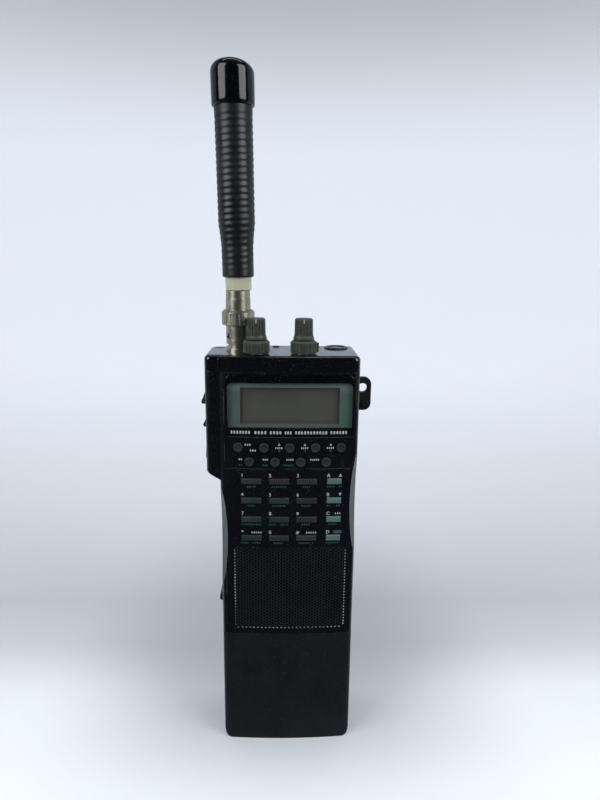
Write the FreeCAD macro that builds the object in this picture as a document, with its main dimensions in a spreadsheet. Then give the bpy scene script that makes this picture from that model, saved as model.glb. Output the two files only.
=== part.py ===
"""Hand-held two-way radio with rubber antenna, keypad and slide-off battery pack.

Row frame: origin at the centre of the base, front towards -Y, +X to the viewer's
right, +Z up. Millimetres. Every driving size is a cell of the sheet "Sizes", and
every formula below is written with the aliases of those cells.
"""
import FreeCAD, Part
import math
import os
import re

import Sketcher

Vector = FreeCAD.Vector
Rotation = FreeCAD.Rotation

SIZES = {
    # outer body
    "case_width": 63.8, "case_depth": 36.0, "crown": 1.5, "side_round": 3.0,
    "total_height": 199.0, "battery_height": 61.0, "split_gap": 0.3,
    "cover_height": 7.3, "cover_round": 2.2, "cover_wall": 2.2, "shell_split": 2.0,
    "case_wall": 2.2, "front_wall": 4.5, "back_wall": 2.5,
    # cover lip that dips in front of the window
    "lip_low": -11.0, "lip_high": 14.0, "lip_drop": 1.0,
    # side bulge that houses the push-to-talk bar
    "bulge_width": 6.3, "bulge_front": -15.5, "bulge_back": 13.0, "bulge_wall": 2.0,
    "bulge_foot_out": 144.3, "bulge_foot_in": 140.2, "bulge_round": 3.0,
    # finger scoops on the front edges
    "scoop_radius": 156.0, "scoop_x": 28.7, "scoop_y": -16.7,
    "right_scoop_z": 129.0, "left_scoop_z": 112.0, "scoop_length": 40.0,
    # window, mask and liquid-crystal panel
    "face_x": 0.35, "window_half": 29.1, "window_top": 190.6, "window_foot": 161.8,
    "window_seat": -15.3, "window_round": 2.6, "window_gap": 0.05,
    "mask_half": 28.5, "mask_top": 187.0, "mask_foot": 165.75, "mask_thick": 0.9,
    "glass_half": 22.6, "glass_top": 184.35, "glass_foot": 167.35, "glass_margin": 2.2,
    "glass_thick": 1.4,
    # round function buttons
    "round_radius": 2.2, "round_gap": 0.25, "round_pitch": 11.8, "round_first": -23.25,
    "round_second": -18.15, "round_high_z": 156.85, "round_low_z": 149.95,
    "round_proud": 0.7, "round_dish": 0.3, "dish_radius": 6.0,
    # rectangular keys
    "key_width": 9.4, "letter_width": 6.7, "key_tall": 2.75, "key_gap": 0.2,
    "key_first_x": -17.3, "key_pitch_x": 12.9, "letter_x": 21.2, "key_top_z": 140.55,
    "key_pitch_z": 9.45, "key_proud": 0.7, "key_round": 0.35,
    "flange_edge": 0.6, "flange_thick": 0.9, "flange_gap": 0.2,
    "key_travel": 0.8, "membrane_thick": 1.2, "groove_z": 146.2, "groove_wide": 0.5,
    "groove_deep": 0.35,
    # speaker and grille
    "grille_x": 0.95, "grille_half": 26.6, "grille_top": 107.1, "grille_foot": 64.1,
    "grille_deep": 0.15, "grille_thick": 0.7, "sound_half": 21.0, "sound_low": 68.0,
    "sound_high": 103.0, "speaker_z": 85.6, "speaker_radius": 18.0, "speaker_deep": 7.5,
    # boards
    "board_half": 27.0, "board_foot": 107.0, "board_top": 178.0, "rf_top": 175.0, "board_y": -9.6,
    "board_thick": 1.4, "rf_half": 21.5, "rf_y": 4.0, "rf_foot": 70.0, "can_half": 19.0,
    "can_foot": 84.0, "can_top": 165.0, "can_deep": 6.0,
    # controls on the cover
    "knob_y": -9.3, "left_knob_x": -14.95, "right_knob_x": 6.4,
    "ring_radius": 6.0, "ring_foot": 199.4, "ring_top": 205.1, "ring_tab": 0.9,
    "knob_foot": 205.5, "knob_skirt": 4.7, "knob_radius": 4.05, "knob_top": 215.0,
    "flute_radius": 0.4, "sleeve_radius": 3.0, "shaft_radius": 1.5, "shaft_gap": 0.08,
    "bush_radius": 3.9, "pot_top": 189.0, "pot_tall": 9.0, "pot_half": 5.4,
    # antenna socket and plug
    "antenna_x": -23.7, "antenna_y": 0.0, "jack_radius": 4.8, "jack_bore": 4.1,
    "jack_foot": 190.0, "jack_top": 211.5, "jack_nut": 5.6, "lug_z": 206.6,
    "lug_radius": 0.95, "lug_reach": 5.45, "nut_foot": 202.4, "nut_radius": 5.65,
    "nut_bore": 4.95, "grip_foot": 210.9, "grip_top": 217.9, "grip_radius": 7.55,
    "slot_radius": 1.2, "unlock_lift": 2.4, "plug_foot": 205.0, "plug_radius": 4.0,
    "ferrule_radius": 5.7, "ferrule_top": 226.5, "collar_radius": 5.95,
    "collar_tall": 6.1, "lean": 1.05, "whip_shift": 0.35, "sheath_foot_radius": 7.15,
    "sheath_radius": 8.25, "sheath_top_radius": 8.3, "sheath_tall": 77.5,
    "tip_radius": 9.35, "tip_top": 95.8, "tip_bore": 6.5,
    # cover fittings
    "cover_jack_x": 22.7, "cover_jack_y": 9.5, "cover_jack_radius": 5.75,
    "led_x": -6.4, "led_y": 12.2, "led_radius": 1.8, "cover_screw_x": -33.2,
    "cover_screw_y": 8.7,
    # side controls
    "ptt_low": 148.2, "ptt_high": 161.6, "ptt_front": -8.0, "ptt_back": 9.0,
    "ptt_proud": 0.9, "upper_low": 174.8, "upper_high": 181.6, "upper_proud": 2.7,
    "lower_low": 163.7, "lower_high": 168.3, "lower_proud": 2.1,
    "side_front": -7.0, "side_back": 3.0, "side_gap": 0.2,
    # battery latch
    "release_low": 63.4, "release_high": 78.4, "release_half": 5.0,
    "release_proud": 2.3, "release_travel": 2.0, "release_seat": 0.9,
    "leaf_thick": 0.6, "catch_x": -26.5, "catch_thick": 1.2, "catch_half": 2.0,
    # strap bracket
    "strap_x": 34.9, "strap_z": 181.7, "strap_hole": 2.2, "strap_outer": 39.0,
    "strap_top": 186.8, "strap_foot": 170.8, "strap_front": -1.6, "strap_thick": 2.2,
    "strap_screw_x": 36.4, "strap_screw_z": 174.4, "ear_back": 6.0, "ear_top": 178.4,
    # battery pack
    "pack_wall": 1.8, "pack_foot_round": 4.5, "plate_thick": 2.0,
    "hook_x": 18.0, "hook_y": 9.0, "hook_neck": 1.0, "hook_long": 3.0,
    "hook_head": 3.0, "slide_travel": 9.0, "cell_radius": 7.1, "cell_tall": 49.5,
    "cell_pitch": 14.4,
    # screws
    "screw_radius": 1.2, "screw_head": 2.1, "screw_low_z": 70.0, "screw_high_z": 184.0,
    "screw_x": 26.9, "boss_half": 2.7,
}

KEY_COLUMNS = (1, 2, 3, 4)
KEY_ROWS = (1, 2, 3, 4)
WORD = re.compile(r"[a-z][a-z_]+")

doc = FreeCAD.newDocument("radio")
sheet = doc.addObject("Spreadsheet::Sheet", "Sizes")
for line, (alias, size) in enumerate(SIZES.items(), start=1):
    sheet.set(f"A{line}", alias)
    sheet.set(f"B{line}", str(size))
    sheet.setAlias(f"B{line}", alias)
doc.recompute()

nodes = []


# ---------------------------------------------------------------- helpers
def number(formula):
    """The value of a formula of aliases, from the sheet's own numbers."""
    text = WORD.sub(lambda word: f"({SIZES[word.group()]})", str(formula))
    return FreeCAD.Units.Quantity(text).Value


def bind(item, prop, formula):
    """Tie a property to the sheet; every word of the formula is an alias."""
    item.setExpression(prop, WORD.sub(r"Sizes.\g<0>", str(formula)))


def put(item, base):
    """Tie the place of an object to three formulas."""
    for axis, formula in zip("xyz", base):
        bind(item, f"Placement.Base.{axis}", formula)
    return item


def node(item, label):
    """Name a finished sub-part; the name is also its file's name."""
    item.Label = label
    nodes.append(item)
    return item


def block(name, x_span, y_span, z_span):
    """A box from three (low, high) pairs of formulas."""
    box = doc.addObject("Part::Box", name)
    for prop, (low, high) in zip(("Length", "Width", "Height"), (x_span, y_span, z_span)):
        bind(box, prop, f"({high}) - ({low})")
    return put(box, (x_span[0], y_span[0], z_span[0]))


def turned(along):
    """The turn that carries +Z onto the axis named."""
    return {"x": Rotation(Vector(0, 1, 0), 90), "y": Rotation(Vector(1, 0, 0), -90),
            "z": Rotation()}[along]


def rod(name, radius, start, length, along="z"):
    """A cylinder from the centre of its first end."""
    cylinder = doc.addObject("Part::Cylinder", name)
    bind(cylinder, "Radius", radius)
    bind(cylinder, "Height", length)
    cylinder.Placement.Rotation = turned(along)
    return put(cylinder, start)


def fuse(name, *shapes):
    joined = doc.addObject("Part::MultiFuse", name)
    joined.Shapes = list(shapes)
    return joined


def cut(name, base, *tools):
    result = doc.addObject("Part::Cut", name)
    result.Base = base
    result.Tool = tools[0] if len(tools) == 1 else fuse(name + "_tools", *tools)
    result.Refine = False
    return result


def common(name, *shapes):
    shared = doc.addObject("Part::MultiCommon", name)
    shared.Shapes = list(shapes)
    return shared


def rounded(name, base, radius, chosen):
    """Fillet the edges of an object that the test chosen(edge) picks."""
    doc.recompute()
    fillet = doc.addObject("Part::Fillet", name)
    fillet.Base = base
    size = number(radius)
    fillet.Edges = [(index, size, size) for index, edge in enumerate(base.Shape.Edges, 1)
                    if chosen(edge)]
    return fillet


def runs_along(axis):
    """A test for straight edges along one axis."""
    across = [other + "Length" for other in "XYZ" if other != axis.upper()]
    return lambda edge: all(getattr(edge.BoundBox, name) < 1e-4 for name in across)


def arc_between(start, end, radius):
    """The counter-clockwise arc from start to end."""
    chord = end - start
    half = chord.Length / 2
    left = Vector(-chord.y, chord.x, 0) / chord.Length
    centre = (start + end) / 2 + left * math.sqrt(radius ** 2 - half ** 2)
    first = math.atan2(start.y - centre.y, start.x - centre.x)
    last = math.atan2(end.y - centre.y, end.x - centre.x)
    if last < first:
        last += 2 * math.pi
    return Part.ArcOfCircle(Part.Circle(centre, Vector(0, 0, 1), radius), first, last)


def outline(body, role, points, arcs=None):
    """A closed sketch on an origin plane; arcs maps a side's number to its radius."""
    arcs = arcs or {}
    sketch = body.newObject("Sketcher::SketchObject", body.Name + "_outline")
    plane = next(item for item in body.Origin.OriginFeatures if item.Role == role)
    sketch.AttachmentSupport = [(plane, "")]
    sketch.MapMode = "FlatFace"
    corners = [Vector(number(x), number(y), 0) for x, y in points]
    count = len(corners)
    for side, start in enumerate(corners):
        end = corners[(side + 1) % count]
        if side in arcs:
            sketch.addGeometry(arc_between(start, end, number(arcs[side])), False)
        else:
            sketch.addGeometry(Part.LineSegment(start, end), False)
    for side in range(count):
        sketch.addConstraint(Sketcher.Constraint("Coincident", side, 2, (side + 1) % count, 1))
    for side, (corner, formulas) in enumerate(zip(corners, points)):
        for kind, place, formula in zip(("DistanceX", "DistanceY"), corner, formulas):
            index = sketch.addConstraint(Sketcher.Constraint(kind, -1, 1, side, 1, place))
            bind(sketch, f"Constraints[{index}]", formula)
    for side, radius in arcs.items():
        index = sketch.addConstraint(Sketcher.Constraint("Radius", side, number(radius)))
        bind(sketch, f"Constraints[{index}]", radius)
    return sketch


def padded(name, role, points, length, base=(0, 0, 0), arcs=None):
    """A body padded from an outline; XY pads go up, XZ pads to the front, YZ to the right."""
    body = doc.addObject("PartDesign::Body", name)
    pad = body.newObject("PartDesign::Pad", name + "_pad")
    pad.Profile = outline(body, role, points, arcs)
    bind(pad, "Length", length)
    return put(body, base)


def revolved(name, points, base=(0, 0, 0), arcs=None):
    """A body turned about its own Z axis from (radius, height) points."""
    body = doc.addObject("PartDesign::Body", name)
    turn = body.newObject("PartDesign::Revolution", name + "_turn")
    sketch = outline(body, "XZ_Plane", points, arcs)
    turn.Profile = sketch
    turn.ReferenceAxis = (sketch, ["V_Axis"])
    turn.Angle = 360
    return put(body, base)


def body_round(body, radius, chosen):
    """Fillet edges of a body's last feature."""
    doc.recompute()
    last = body.Tip
    names = [f"Edge{index}" for index, edge in enumerate(last.Shape.Edges, 1) if chosen(edge)]
    fillet = body.newObject("PartDesign::Fillet", body.Name + "_round")
    fillet.Base = (last, names)
    bind(fillet, "Radius", radius)
    return body


def crowned(name, low, high, inset="0"):
    """The body's plan section, crowned at the front, between two heights."""
    side = f"case_width/2 - ({inset})"
    front = f"-case_depth/2 + crown + ({inset})"
    back = f"case_depth/2 - ({inset})"
    points = ((f"-({side})", front), (side, front), (side, back), (f"-({side})", back))
    radius = f"(case_width^2/4 + crown^2)/(2*crown) - ({inset})"
    body = padded(name, "XY_Plane", points, f"({high}) - ({low})", (0, 0, low), {0: radius})
    return body_round(body, f"side_round - ({inset})", runs_along("z"))


def face_y(x):
    """The formula of the crowned front face's Y at a place across the radio."""
    return f"-case_depth/2 + crown*(({x})/(case_width/2))^2"


def skin(name, depth, x_span, z_span):
    """A slice of the crowned face's outer skin, as deep as asked."""
    shell = cut(name + "_shell", crowned(name + "_out", z_span[0], z_span[1], "-0.4"),
                crowned(name + "_in", z_span[0], z_span[1], depth))
    return common(name, shell, block(name + "_box", x_span, (-25, 0), z_span))


def ring_of_rods(name, count, radius, distance, centre, low, high):
    """Upright rods spaced evenly round a centre."""
    rods = []
    for step in range(count):
        angle = 2 * math.pi * (step + 0.5) / count
        place = (f"({centre[0]}) + ({distance})*({math.cos(angle):.6f})",
                 f"({centre[1]}) + ({distance})*({math.sin(angle):.6f})", low)
        rods.append(rod(f"{name}_{step}", radius, place, f"({high}) - ({low})"))
    return fuse(name, *rods)


# ---------------------------------------------------------------- casing
SEAM = "total_height - cover_height"
HALF = "case_width/2"
LEFT = "-case_width/2 - bulge_width"
BACK_OF_WALL = "-case_depth/2 + front_wall"
KEY_BACK = f"{BACK_OF_WALL} + flange_gap + flange_thick"


def bulge(name, low_out, low_in, high, inset="0"):
    """The side housing, cut slantwise at its foot."""
    points = ((f"{LEFT} + ({inset})", low_out), ("0.4 - case_width/2", low_in),
              ("0 - case_width/4", low_in), ("0 - case_width/4", high),
              (f"{LEFT} + ({inset})", high))
    return padded(name, "XZ_Plane", points, "bulge_back - bulge_front - 2*(" + inset + ")",
                  (0, f"bulge_back - ({inset})", 0))


def key_places():
    """Row, column, centre and width of each rectangular key."""
    for row in KEY_ROWS:
        for column in KEY_COLUMNS:
            letter = column == KEY_COLUMNS[-1]
            x = "letter_x" if letter else f"key_first_x + {column - 1}*key_pitch_x"
            yield row, column, x, f"key_top_z - {row - 1}*key_pitch_z", (
                "letter_width" if letter else "key_width")


def round_places():
    """Row, column and centre of each round button."""
    for row, count, first, z in ((1, 5, "round_first", "round_high_z"),
                                 (2, 4, "round_second", "round_low_z")):
        for column in range(1, count + 1):
            yield row, column, f"{first} + {column - 1}*round_pitch", z


def case_block():
    """The whole case below the cover: outer block less its hollows."""
    body = crowned("case_outer", "battery_height", SEAM)
    side = bulge("bulge_outer", "bulge_foot_out", "bulge_foot_in", SEAM)
    side = body_round(side, "bulge_round", lambda edge: runs_along("z")(edge)
                      and edge.BoundBox.XMax < number(LEFT) + 1)
    hollow = block("hollow", ("-case_width/2 + case_wall", "case_width/2 - case_wall"),
                   ("-case_depth/2 + front_wall", "case_depth/2 - back_wall"),
                   ("battery_height - 1", "total_height"))
    pocket = bulge("bulge_hollow", "bulge_foot_out + 1.2", "bulge_foot_in + 1.2",
                   "total_height", "bulge_wall")
    return cut("case_block", fuse("case_solid", body, side), hollow, pocket)


def scoop(name, side, z):
    """A long shallow cutter for one front edge; side is +1 right, -1 left.

    The left one stops at the foot of the side housing.
    """
    along = Vector(side * 0.437, 0.9, 0).normalize()
    outward = Vector(side * along.y, -abs(along.x), 0)
    cylinder = doc.addObject("Part::Cylinder", name)
    bind(cylinder, "Radius", "scoop_radius")
    bind(cylinder, "Height", "scoop_length")
    cylinder.Placement.Rotation = Rotation(Vector(0, 0, 1), along)
    put(cylinder, (
        f"({side})*scoop_x + ({outward.x:.6f})*scoop_radius - ({along.x:.6f})*scoop_length/2",
        f"scoop_y + ({outward.y:.6f})*scoop_radius - ({along.y:.6f})*scoop_length/2", z))
    top = "total_height" if side > 0 else "bulge_foot_in"
    return common(name + "_zone", cylinder, block(name + "_box", ("-60", "60"), ("-60", "60"),
                                                  ("0", top)))


def key_windows():
    """Openings in the front wall for every key and button."""
    span = ("-case_depth/2 - 1", "-case_depth/2 + front_wall + 1")
    tools = []
    for row, column, x, z, width in key_places():
        half = f"({width})/2 + key_gap"
        tall = "key_tall/2 + key_gap"
        tools.append(block(f"key_window_{row}_{column}", (f"{x} - ({half})", f"{x} + {half}"),
                           span, (f"{z} - ({tall})", f"{z} + {tall}")))
    for row, column, x, z in round_places():
        tools.append(rod(f"round_window_{row}_{column}", "round_radius + round_gap",
                         (x, span[0], z), f"({span[1]}) - ({span[0]})", "y"))
    return fuse("key_windows", *tools)


def side_windows():
    """Openings for the push-to-talk bar, the side keys and the battery release."""
    span = (f"{LEFT} - 1", f"{LEFT} + bulge_wall + 1")
    tools = []
    for name, low, high, front, back in (
            ("ptt", "ptt_low", "ptt_high", "ptt_front", "ptt_back"),
            ("upper", "upper_low", "upper_high", "side_front", "side_back"),
            ("lower", "lower_low", "lower_high", "side_front", "side_back")):
        tools.append(block(name + "_window", span, (f"{front} - side_gap", f"{back} + side_gap"),
                           (f"{low} - side_gap", f"{high} + side_gap")))
    tools.append(block("release_seat", ("-case_width/2 - 1", "-case_width/2 + release_seat"),
                       ("-release_half - side_gap", "release_half + side_gap"),
                       ("release_low - side_gap", "release_high + release_travel + side_gap")))
    tools.append(block("release_slot", ("-case_width/2 - 1", "-case_width/2 + case_wall + 1"),
                       ("-catch_half - side_gap", "catch_half + side_gap"),
                       ("release_low - 0.1", "release_low + 1.7 + release_travel")))
    return fuse("side_windows", *tools)


def screw_places():
    for x in ("-screw_x", "screw_x"):
        for z in ("screw_low_z", "screw_high_z"):
            yield x, z


def make_case():
    """Front and rear shells, cut from one block at the side seam."""
    whole = cut("case_pierced", case_block(), side_windows())
    wide = ("-60", "60")
    tall = ("battery_height - 5", "total_height + 5")
    front_half = common("front_blank", whole, block("front_zone", wide, ("-30", "shell_split"), tall))
    window_seat = block("window_pocket",
                        ("face_x - window_half - window_gap", "face_x + window_half + window_gap"),
                        ("-case_depth/2 - 1", "window_seat"),
                        ("window_foot - window_gap", "window_top + window_gap"))
    lip_notch = block("lip_notch", ("lip_low - window_gap", "lip_high + window_gap"),
                      ("-case_depth/2 - 1", "window_seat + window_gap"),
                      ("window_top - 1", f"{SEAM} + 1"))
    sight = block("sight_opening", ("face_x - mask_half - 0.1", "face_x + mask_half + 0.1"),
                  ("-case_depth/2 - 1", "-case_depth/2 + front_wall + 1"),
                  ("mask_foot - 0.1", "mask_top + 0.1"))
    grille_seat = skin("grille_seat", "grille_deep + grille_thick",
                       ("grille_x - grille_half - 0.1", "grille_x + grille_half + 0.1"),
                       ("grille_foot - 0.1", "grille_top + 0.1"))
    sound = block("sound_opening", ("grille_x - sound_half", "grille_x + sound_half"),
                  ("-case_depth/2 - 1", "-case_depth/2 + front_wall + 1"),
                  ("sound_low", "sound_high"))
    groove = skin("panel_groove", "groove_deep",
                  ("face_x - window_half", "face_x + window_half"),
                  ("groove_z", "groove_z + groove_wide"))
    bosses = [block(f"boss_{index}", (f"{x} - boss_half", f"{x} + boss_half"),
                    ("-6", "case_depth/2 - back_wall"), (f"{z} - boss_half", f"{z} + boss_half"))
              for index, (x, z) in enumerate(screw_places())]
    webs = [block(f"web_{index}", (f"{x} - boss_half - 0.4", f"{x} + boss_half + 0.4"),
                  ("-6", "shell_split"), (f"{z} - boss_half", f"{z} + boss_half"))
            for index, (x, z) in enumerate(screw_places())]
    webs.append(block("bulge_web", ("-screw_x - boss_half - 0.4", "-board_half - 0.2"),
                      (f"{BACK_OF_WALL} - 0.5", "-5.5"),
                      ("screw_high_z - boss_half", "screw_high_z + boss_half")))
    threads = [rod(f"thread_{index}", "screw_radius", (x, "0", z), "case_depth/2", "y")
               for index, (x, z) in enumerate(screw_places())]
    shell = cut("front_shell", front_half, window_seat, lip_notch, sight, grille_seat, sound, groove,
                key_windows(), scoop("right_scoop", 1, "right_scoop_z"),
                scoop("left_scoop", -1, "left_scoop_z"))
    front = cut("front_case", fuse("front_bossed", shell, *bosses, *webs), *threads)
    node(front, "front_case")

    rear_half = common("rear_blank", whole, block("rear_zone", wide, ("shell_split", "30"), tall))
    ear = block("strap_ear", (f"{HALF} - 1", "strap_outer - 0.6"),
                ("strap_front + strap_thick", "ear_back"), ("strap_foot + 0.3", "ear_top"))
    holes = [rod(f"rear_hole_{index}", "screw_radius + 0.1", (x, "10", z), "20", "y")
             for index, (x, z) in enumerate(screw_places())]
    sinks = [rod(f"rear_sink_{index}", "screw_head + 0.2", (x, "case_depth/2 - 1.4", z), "5", "y")
             for index, (x, z) in enumerate(screw_places())]
    ear_hole = rod("ear_hole", "0.92", ("strap_screw_x", "-5", "strap_screw_z"), "9.1", "y")
    wall_clear = block("ear_clear", (f"{HALF} - 4", HALF), ("-5", "shell_split"),
                       ("strap_foot", "strap_top"))
    rear = cut("rear_case", fuse("rear_eared", rear_half, ear), wall_clear, ear_hole,
               *holes, *sinks)
    node(rear, "rear_case")


def make_screws():
    """Rear case screws, the strap screw and the cover screw, one group."""
    shapes = []
    for index, (x, z) in enumerate(screw_places()):
        head = rod(f"screw_head_{index}", "screw_head", (x, "case_depth/2 - 1.4", z), "1.2", "y")
        shank = rod(f"screw_shank_{index}", "screw_radius - 0.02", (x, "6", z),
                    "case_depth/2 - 6.4", "y")
        slot = block(f"screw_slot_{index}", (f"{x} - 1.5", f"{x} + 1.5"),
                     ("case_depth/2 - 0.7", "case_depth/2"), (f"{z} - 0.25", f"{z} + 0.25"))
        shapes.append(cut(f"screw_{index}", fuse(f"screw_solid_{index}", head, shank), slot))
    head = rod("strap_screw_head", "1.45", ("strap_screw_x", "strap_front - 1", "strap_screw_z"),
               "1", "y")
    shank = rod("strap_screw_shank", "0.9", ("strap_screw_x", "strap_front", "strap_screw_z"),
                "5", "y")
    slot = block("strap_screw_slot", ("strap_screw_x - 1.1", "strap_screw_x + 1.1"),
                 ("strap_front - 1.1", "strap_front - 0.5"),
                 ("strap_screw_z - 0.2", "strap_screw_z + 0.2"))
    shapes.append(cut("strap_screw", fuse("strap_screw_solid", head, shank), slot))
    cover_head = rod("cover_screw_head", "screw_head",
                     ("cover_screw_x", "cover_screw_y", "total_height - 1.2"), "1")
    cover_shank = rod("cover_screw_shank", "screw_radius",
                      ("cover_screw_x", "cover_screw_y", "total_height - 5"), "3.9")
    cover_slot = block("cover_screw_slot", ("cover_screw_x - 1.5", "cover_screw_x + 1.5"),
                       ("cover_screw_y - 0.25", "cover_screw_y + 0.25"),
                       ("total_height - 0.8", "total_height"))
    shapes.append(cut("cover_screw", fuse("cover_screw_solid", cover_head, cover_shank),
                      cover_slot))
    group = doc.addObject("Part::Compound", "case_screws")
    group.Links = shapes
    node(group, "case_screws")


def make_cover():
    """Glossy cap over the case, with every control's opening."""
    plan = (("-case_width/2 - bulge_width", "bulge_front"), ("-case_width/2", "bulge_front"),
            ("-case_width/2", "-case_depth/2 + crown"), (HALF, "-case_depth/2 + crown"),
            (HALF, "case_depth/2"), ("-case_width/2", "case_depth/2"),
            ("-case_width/2", "bulge_back"), ("-case_width/2 - bulge_width", "bulge_back"))
    body = padded("cover_outer", "XY_Plane", plan, "cover_height", (0, 0, SEAM),
                  {2: "(case_width^2/4 + crown^2)/(2*crown)"})
    outer_x = (number(LEFT), number(HALF))
    body_round(body, "side_round", lambda edge: runs_along("z")(edge) and any(
        abs(edge.BoundBox.XMin - x) < 0.1 for x in outer_x))
    body_round(body, "cover_round", lambda edge: edge.BoundBox.ZMin > number("cover_height - 0.1"))
    lip = common("lip_blank", crowned("lip_section", f"{SEAM} - lip_drop", f"{SEAM} + 0.5"),
                 block("lip_box", ("lip_low", "lip_high"), ("-25", "window_seat"),
                       (f"{SEAM} - lip_drop", f"{SEAM} + 0.5")))
    hollow = block("cover_hollow", (f"-{HALF} + cover_wall", f"{HALF} - cover_wall"),
                   ("-case_depth/2 + front_wall", "case_depth/2 - back_wall"),
                   (f"{SEAM} - 2", "total_height - cover_wall"))
    side_hollow = block("cover_side_hollow", (f"{LEFT} + cover_wall", f"-{HALF} + cover_wall + 1"),
                        ("bulge_front + cover_wall", "bulge_back - cover_wall"),
                        (f"{SEAM} - 2", "total_height - cover_wall"))
    tools = [hollow, side_hollow]
    top = "total_height - cover_wall - 1"
    for name, x in (("left", "left_knob_x"), ("right", "right_knob_x")):
        tools.append(rod(name + "_bush_hole", "bush_radius", (x, "knob_y", top), "10"))
    tools.append(rod("jack_hole", "jack_radius", ("antenna_x", "antenna_y", top), "10"))
    tools.append(rod("led_hole", "led_radius", ("led_x", "led_y", top), "10"))
    tools.append(rod("cover_jack_seat", "cover_jack_radius + 0.2",
                     ("cover_jack_x", "cover_jack_y", "total_height - 0.7"), "5"))
    for index, (shift, radius) in enumerate((("-2.6", "1.85"), ("2.6", "1.35"))):
        tools.append(rod(f"socket_{index}", radius,
                         (f"cover_jack_x + ({shift})", "cover_jack_y", top), "10"))
    tools.append(rod("cover_screw_seat", "screw_head + 0.2",
                     ("cover_screw_x", "cover_screw_y", "total_height - 1.2"), "5"))
    tools.append(rod("cover_screw_hole", "screw_radius + 0.05",
                     ("cover_screw_x", "cover_screw_y", top), "10"))
    node(cut("top_cover", fuse("cover_solid", body, lip), *tools), "top_cover")


def make_display():
    """Window, mask and liquid-crystal panel."""
    span = ("face_x - window_half", "face_x + window_half")
    section = crowned("window_section", "window_foot - 1", "window_top + 1")
    pane = rounded("window_pane", block("window_box", span, ("-25", "window_seat"),
                                        ("window_foot", "window_top")), "window_round",
                   lambda edge: runs_along("y")(edge)
                   and edge.BoundBox.ZMin > number("window_top - 1"))
    lip_clear = block("lip_clear", ("lip_low - 0.05", "lip_high + 0.05"), ("-25", "0"),
                      (f"{SEAM} - lip_drop - 0.05", "total_height"))
    node(cut("display_window", common("window_blank", section, pane), lip_clear),
         "display_window")
    mask = block("mask_plate", ("face_x - mask_half", "face_x + mask_half"),
                 ("window_seat", "window_seat + mask_thick"), ("mask_foot", "mask_top"))
    opening = block("mask_opening", ("face_x - glass_half", "face_x + glass_half"),
                    ("window_seat - 1", "window_seat + mask_thick + 1"),
                    ("glass_foot", "glass_top"))
    node(cut("display_bezel", mask, opening), "display_bezel")
    node(block("lcd_panel", ("face_x - glass_half - glass_margin",
                             "face_x + glass_half + glass_margin"),
               ("window_seat + mask_thick", "window_seat + mask_thick + glass_thick"),
               ("glass_foot - 1.4", "glass_top + 1.4")), "lcd_panel")


def make_keys():
    """Sixteen rectangular keys, each a cap with a flange behind the wall."""
    for row, column, x, z, width in key_places():
        name = f"key_{row}_{column}"
        cap = block(name + "_cap", (f"{x} - {width}/2", f"{x} + {width}/2"),
                    (f"{face_y(x)} - key_proud", KEY_BACK),
                    (f"{z} - key_tall/2", f"{z} + key_tall/2"))
        cap = rounded(name + "_soft", cap, "key_round",
                      lambda edge: edge.BoundBox.YMax < number(face_y(x)) - 0.1)
        edge_x = f"{width}/2 + flange_edge"
        edge_z = "key_tall/2 + flange_edge"
        flange = block(name + "_flange", (f"{x} - ({edge_x})", f"{x} + {edge_x}"),
                       (f"{BACK_OF_WALL} + flange_gap", KEY_BACK),
                       (f"{z} - ({edge_z})", f"{z} + {edge_z}"))
        node(fuse(name, cap, flange), name)


def make_round_buttons():
    """Nine round buttons with dished faces."""
    for row, column, x, z in round_places():
        name = f"button_{row}_{column}"
        front = f"{face_y(x)} - round_proud"
        stem = rod(name + "_stem", "round_radius", (x, front, z), f"{KEY_BACK} - ({front})", "y")
        stem = rounded(name + "_soft", stem, "key_round",
                       lambda edge: edge.BoundBox.YMax < number(face_y(x)) - 0.1)
        flange = rod(name + "_flange", "round_radius + flange_edge",
                     (x, f"{BACK_OF_WALL} + flange_gap", z), "flange_thick", "y")
        dish = doc.addObject("Part::Sphere", name + "_dish")
        bind(dish, "Radius", "dish_radius")
        put(dish, (x, f"{front} - dish_radius + round_dish", z))
        node(cut(name, fuse(name + "_solid", stem, flange), dish), name)


def make_boards():
    """Rubber membrane, control board and radio board with its shield can."""
    membrane_front = f"{KEY_BACK} + key_travel + 0.1"
    node(block("keypad_membrane", ("-board_half", "board_half"),
               (membrane_front, f"{membrane_front} + membrane_thick"),
               ("board_foot + 1", "window_foot - 1")), "keypad_membrane")
    board = block("control_board_plate", ("-board_half", "board_half"),
                  ("board_y", "board_y + board_thick"), ("board_foot", "board_top"))
    chip = block("control_chip", ("-8", "8"), ("board_y + board_thick", "board_y + board_thick + 2"),
                 ("118", "134"))
    node(fuse("control_board", board, chip), "control_board")
    plate = block("rf_plate", ("-rf_half", "rf_half"), ("rf_y", "rf_y + board_thick"),
                  ("rf_foot", "rf_top"))
    can = block("shield_can", ("-can_half", "can_half"),
                ("rf_y + board_thick", "rf_y + board_thick + can_deep"), ("can_foot", "can_top"))
    node(fuse("rf_board", plate, can), "rf_board")


def make_speaker():
    """Loudspeaker behind the grille, and the crowned grille sheet."""
    profile = ((0, 0), ("speaker_radius", 0), ("speaker_radius", 1.2),
               ("speaker_radius - 4", 3.2), ("speaker_radius/2", 3.2),
               ("speaker_radius/2", "speaker_deep"), (0, "speaker_deep"))
    body = revolved("speaker", profile)
    body.Placement.Rotation = turned("y")
    node(put(body, ("grille_x", f"{BACK_OF_WALL}", "speaker_z")), "speaker")
    z_span = ("grille_foot", "grille_top")
    shell = cut("grille_shell", crowned("grille_out", *z_span, "grille_deep"),
                crowned("grille_in", *z_span, "grille_deep + grille_thick"))
    sheet_box = block("grille_box", ("grille_x - grille_half", "grille_x + grille_half"),
                      ("-25", "0"), z_span)
    node(common("speaker_grille", shell, sheet_box), "speaker_grille")


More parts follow.
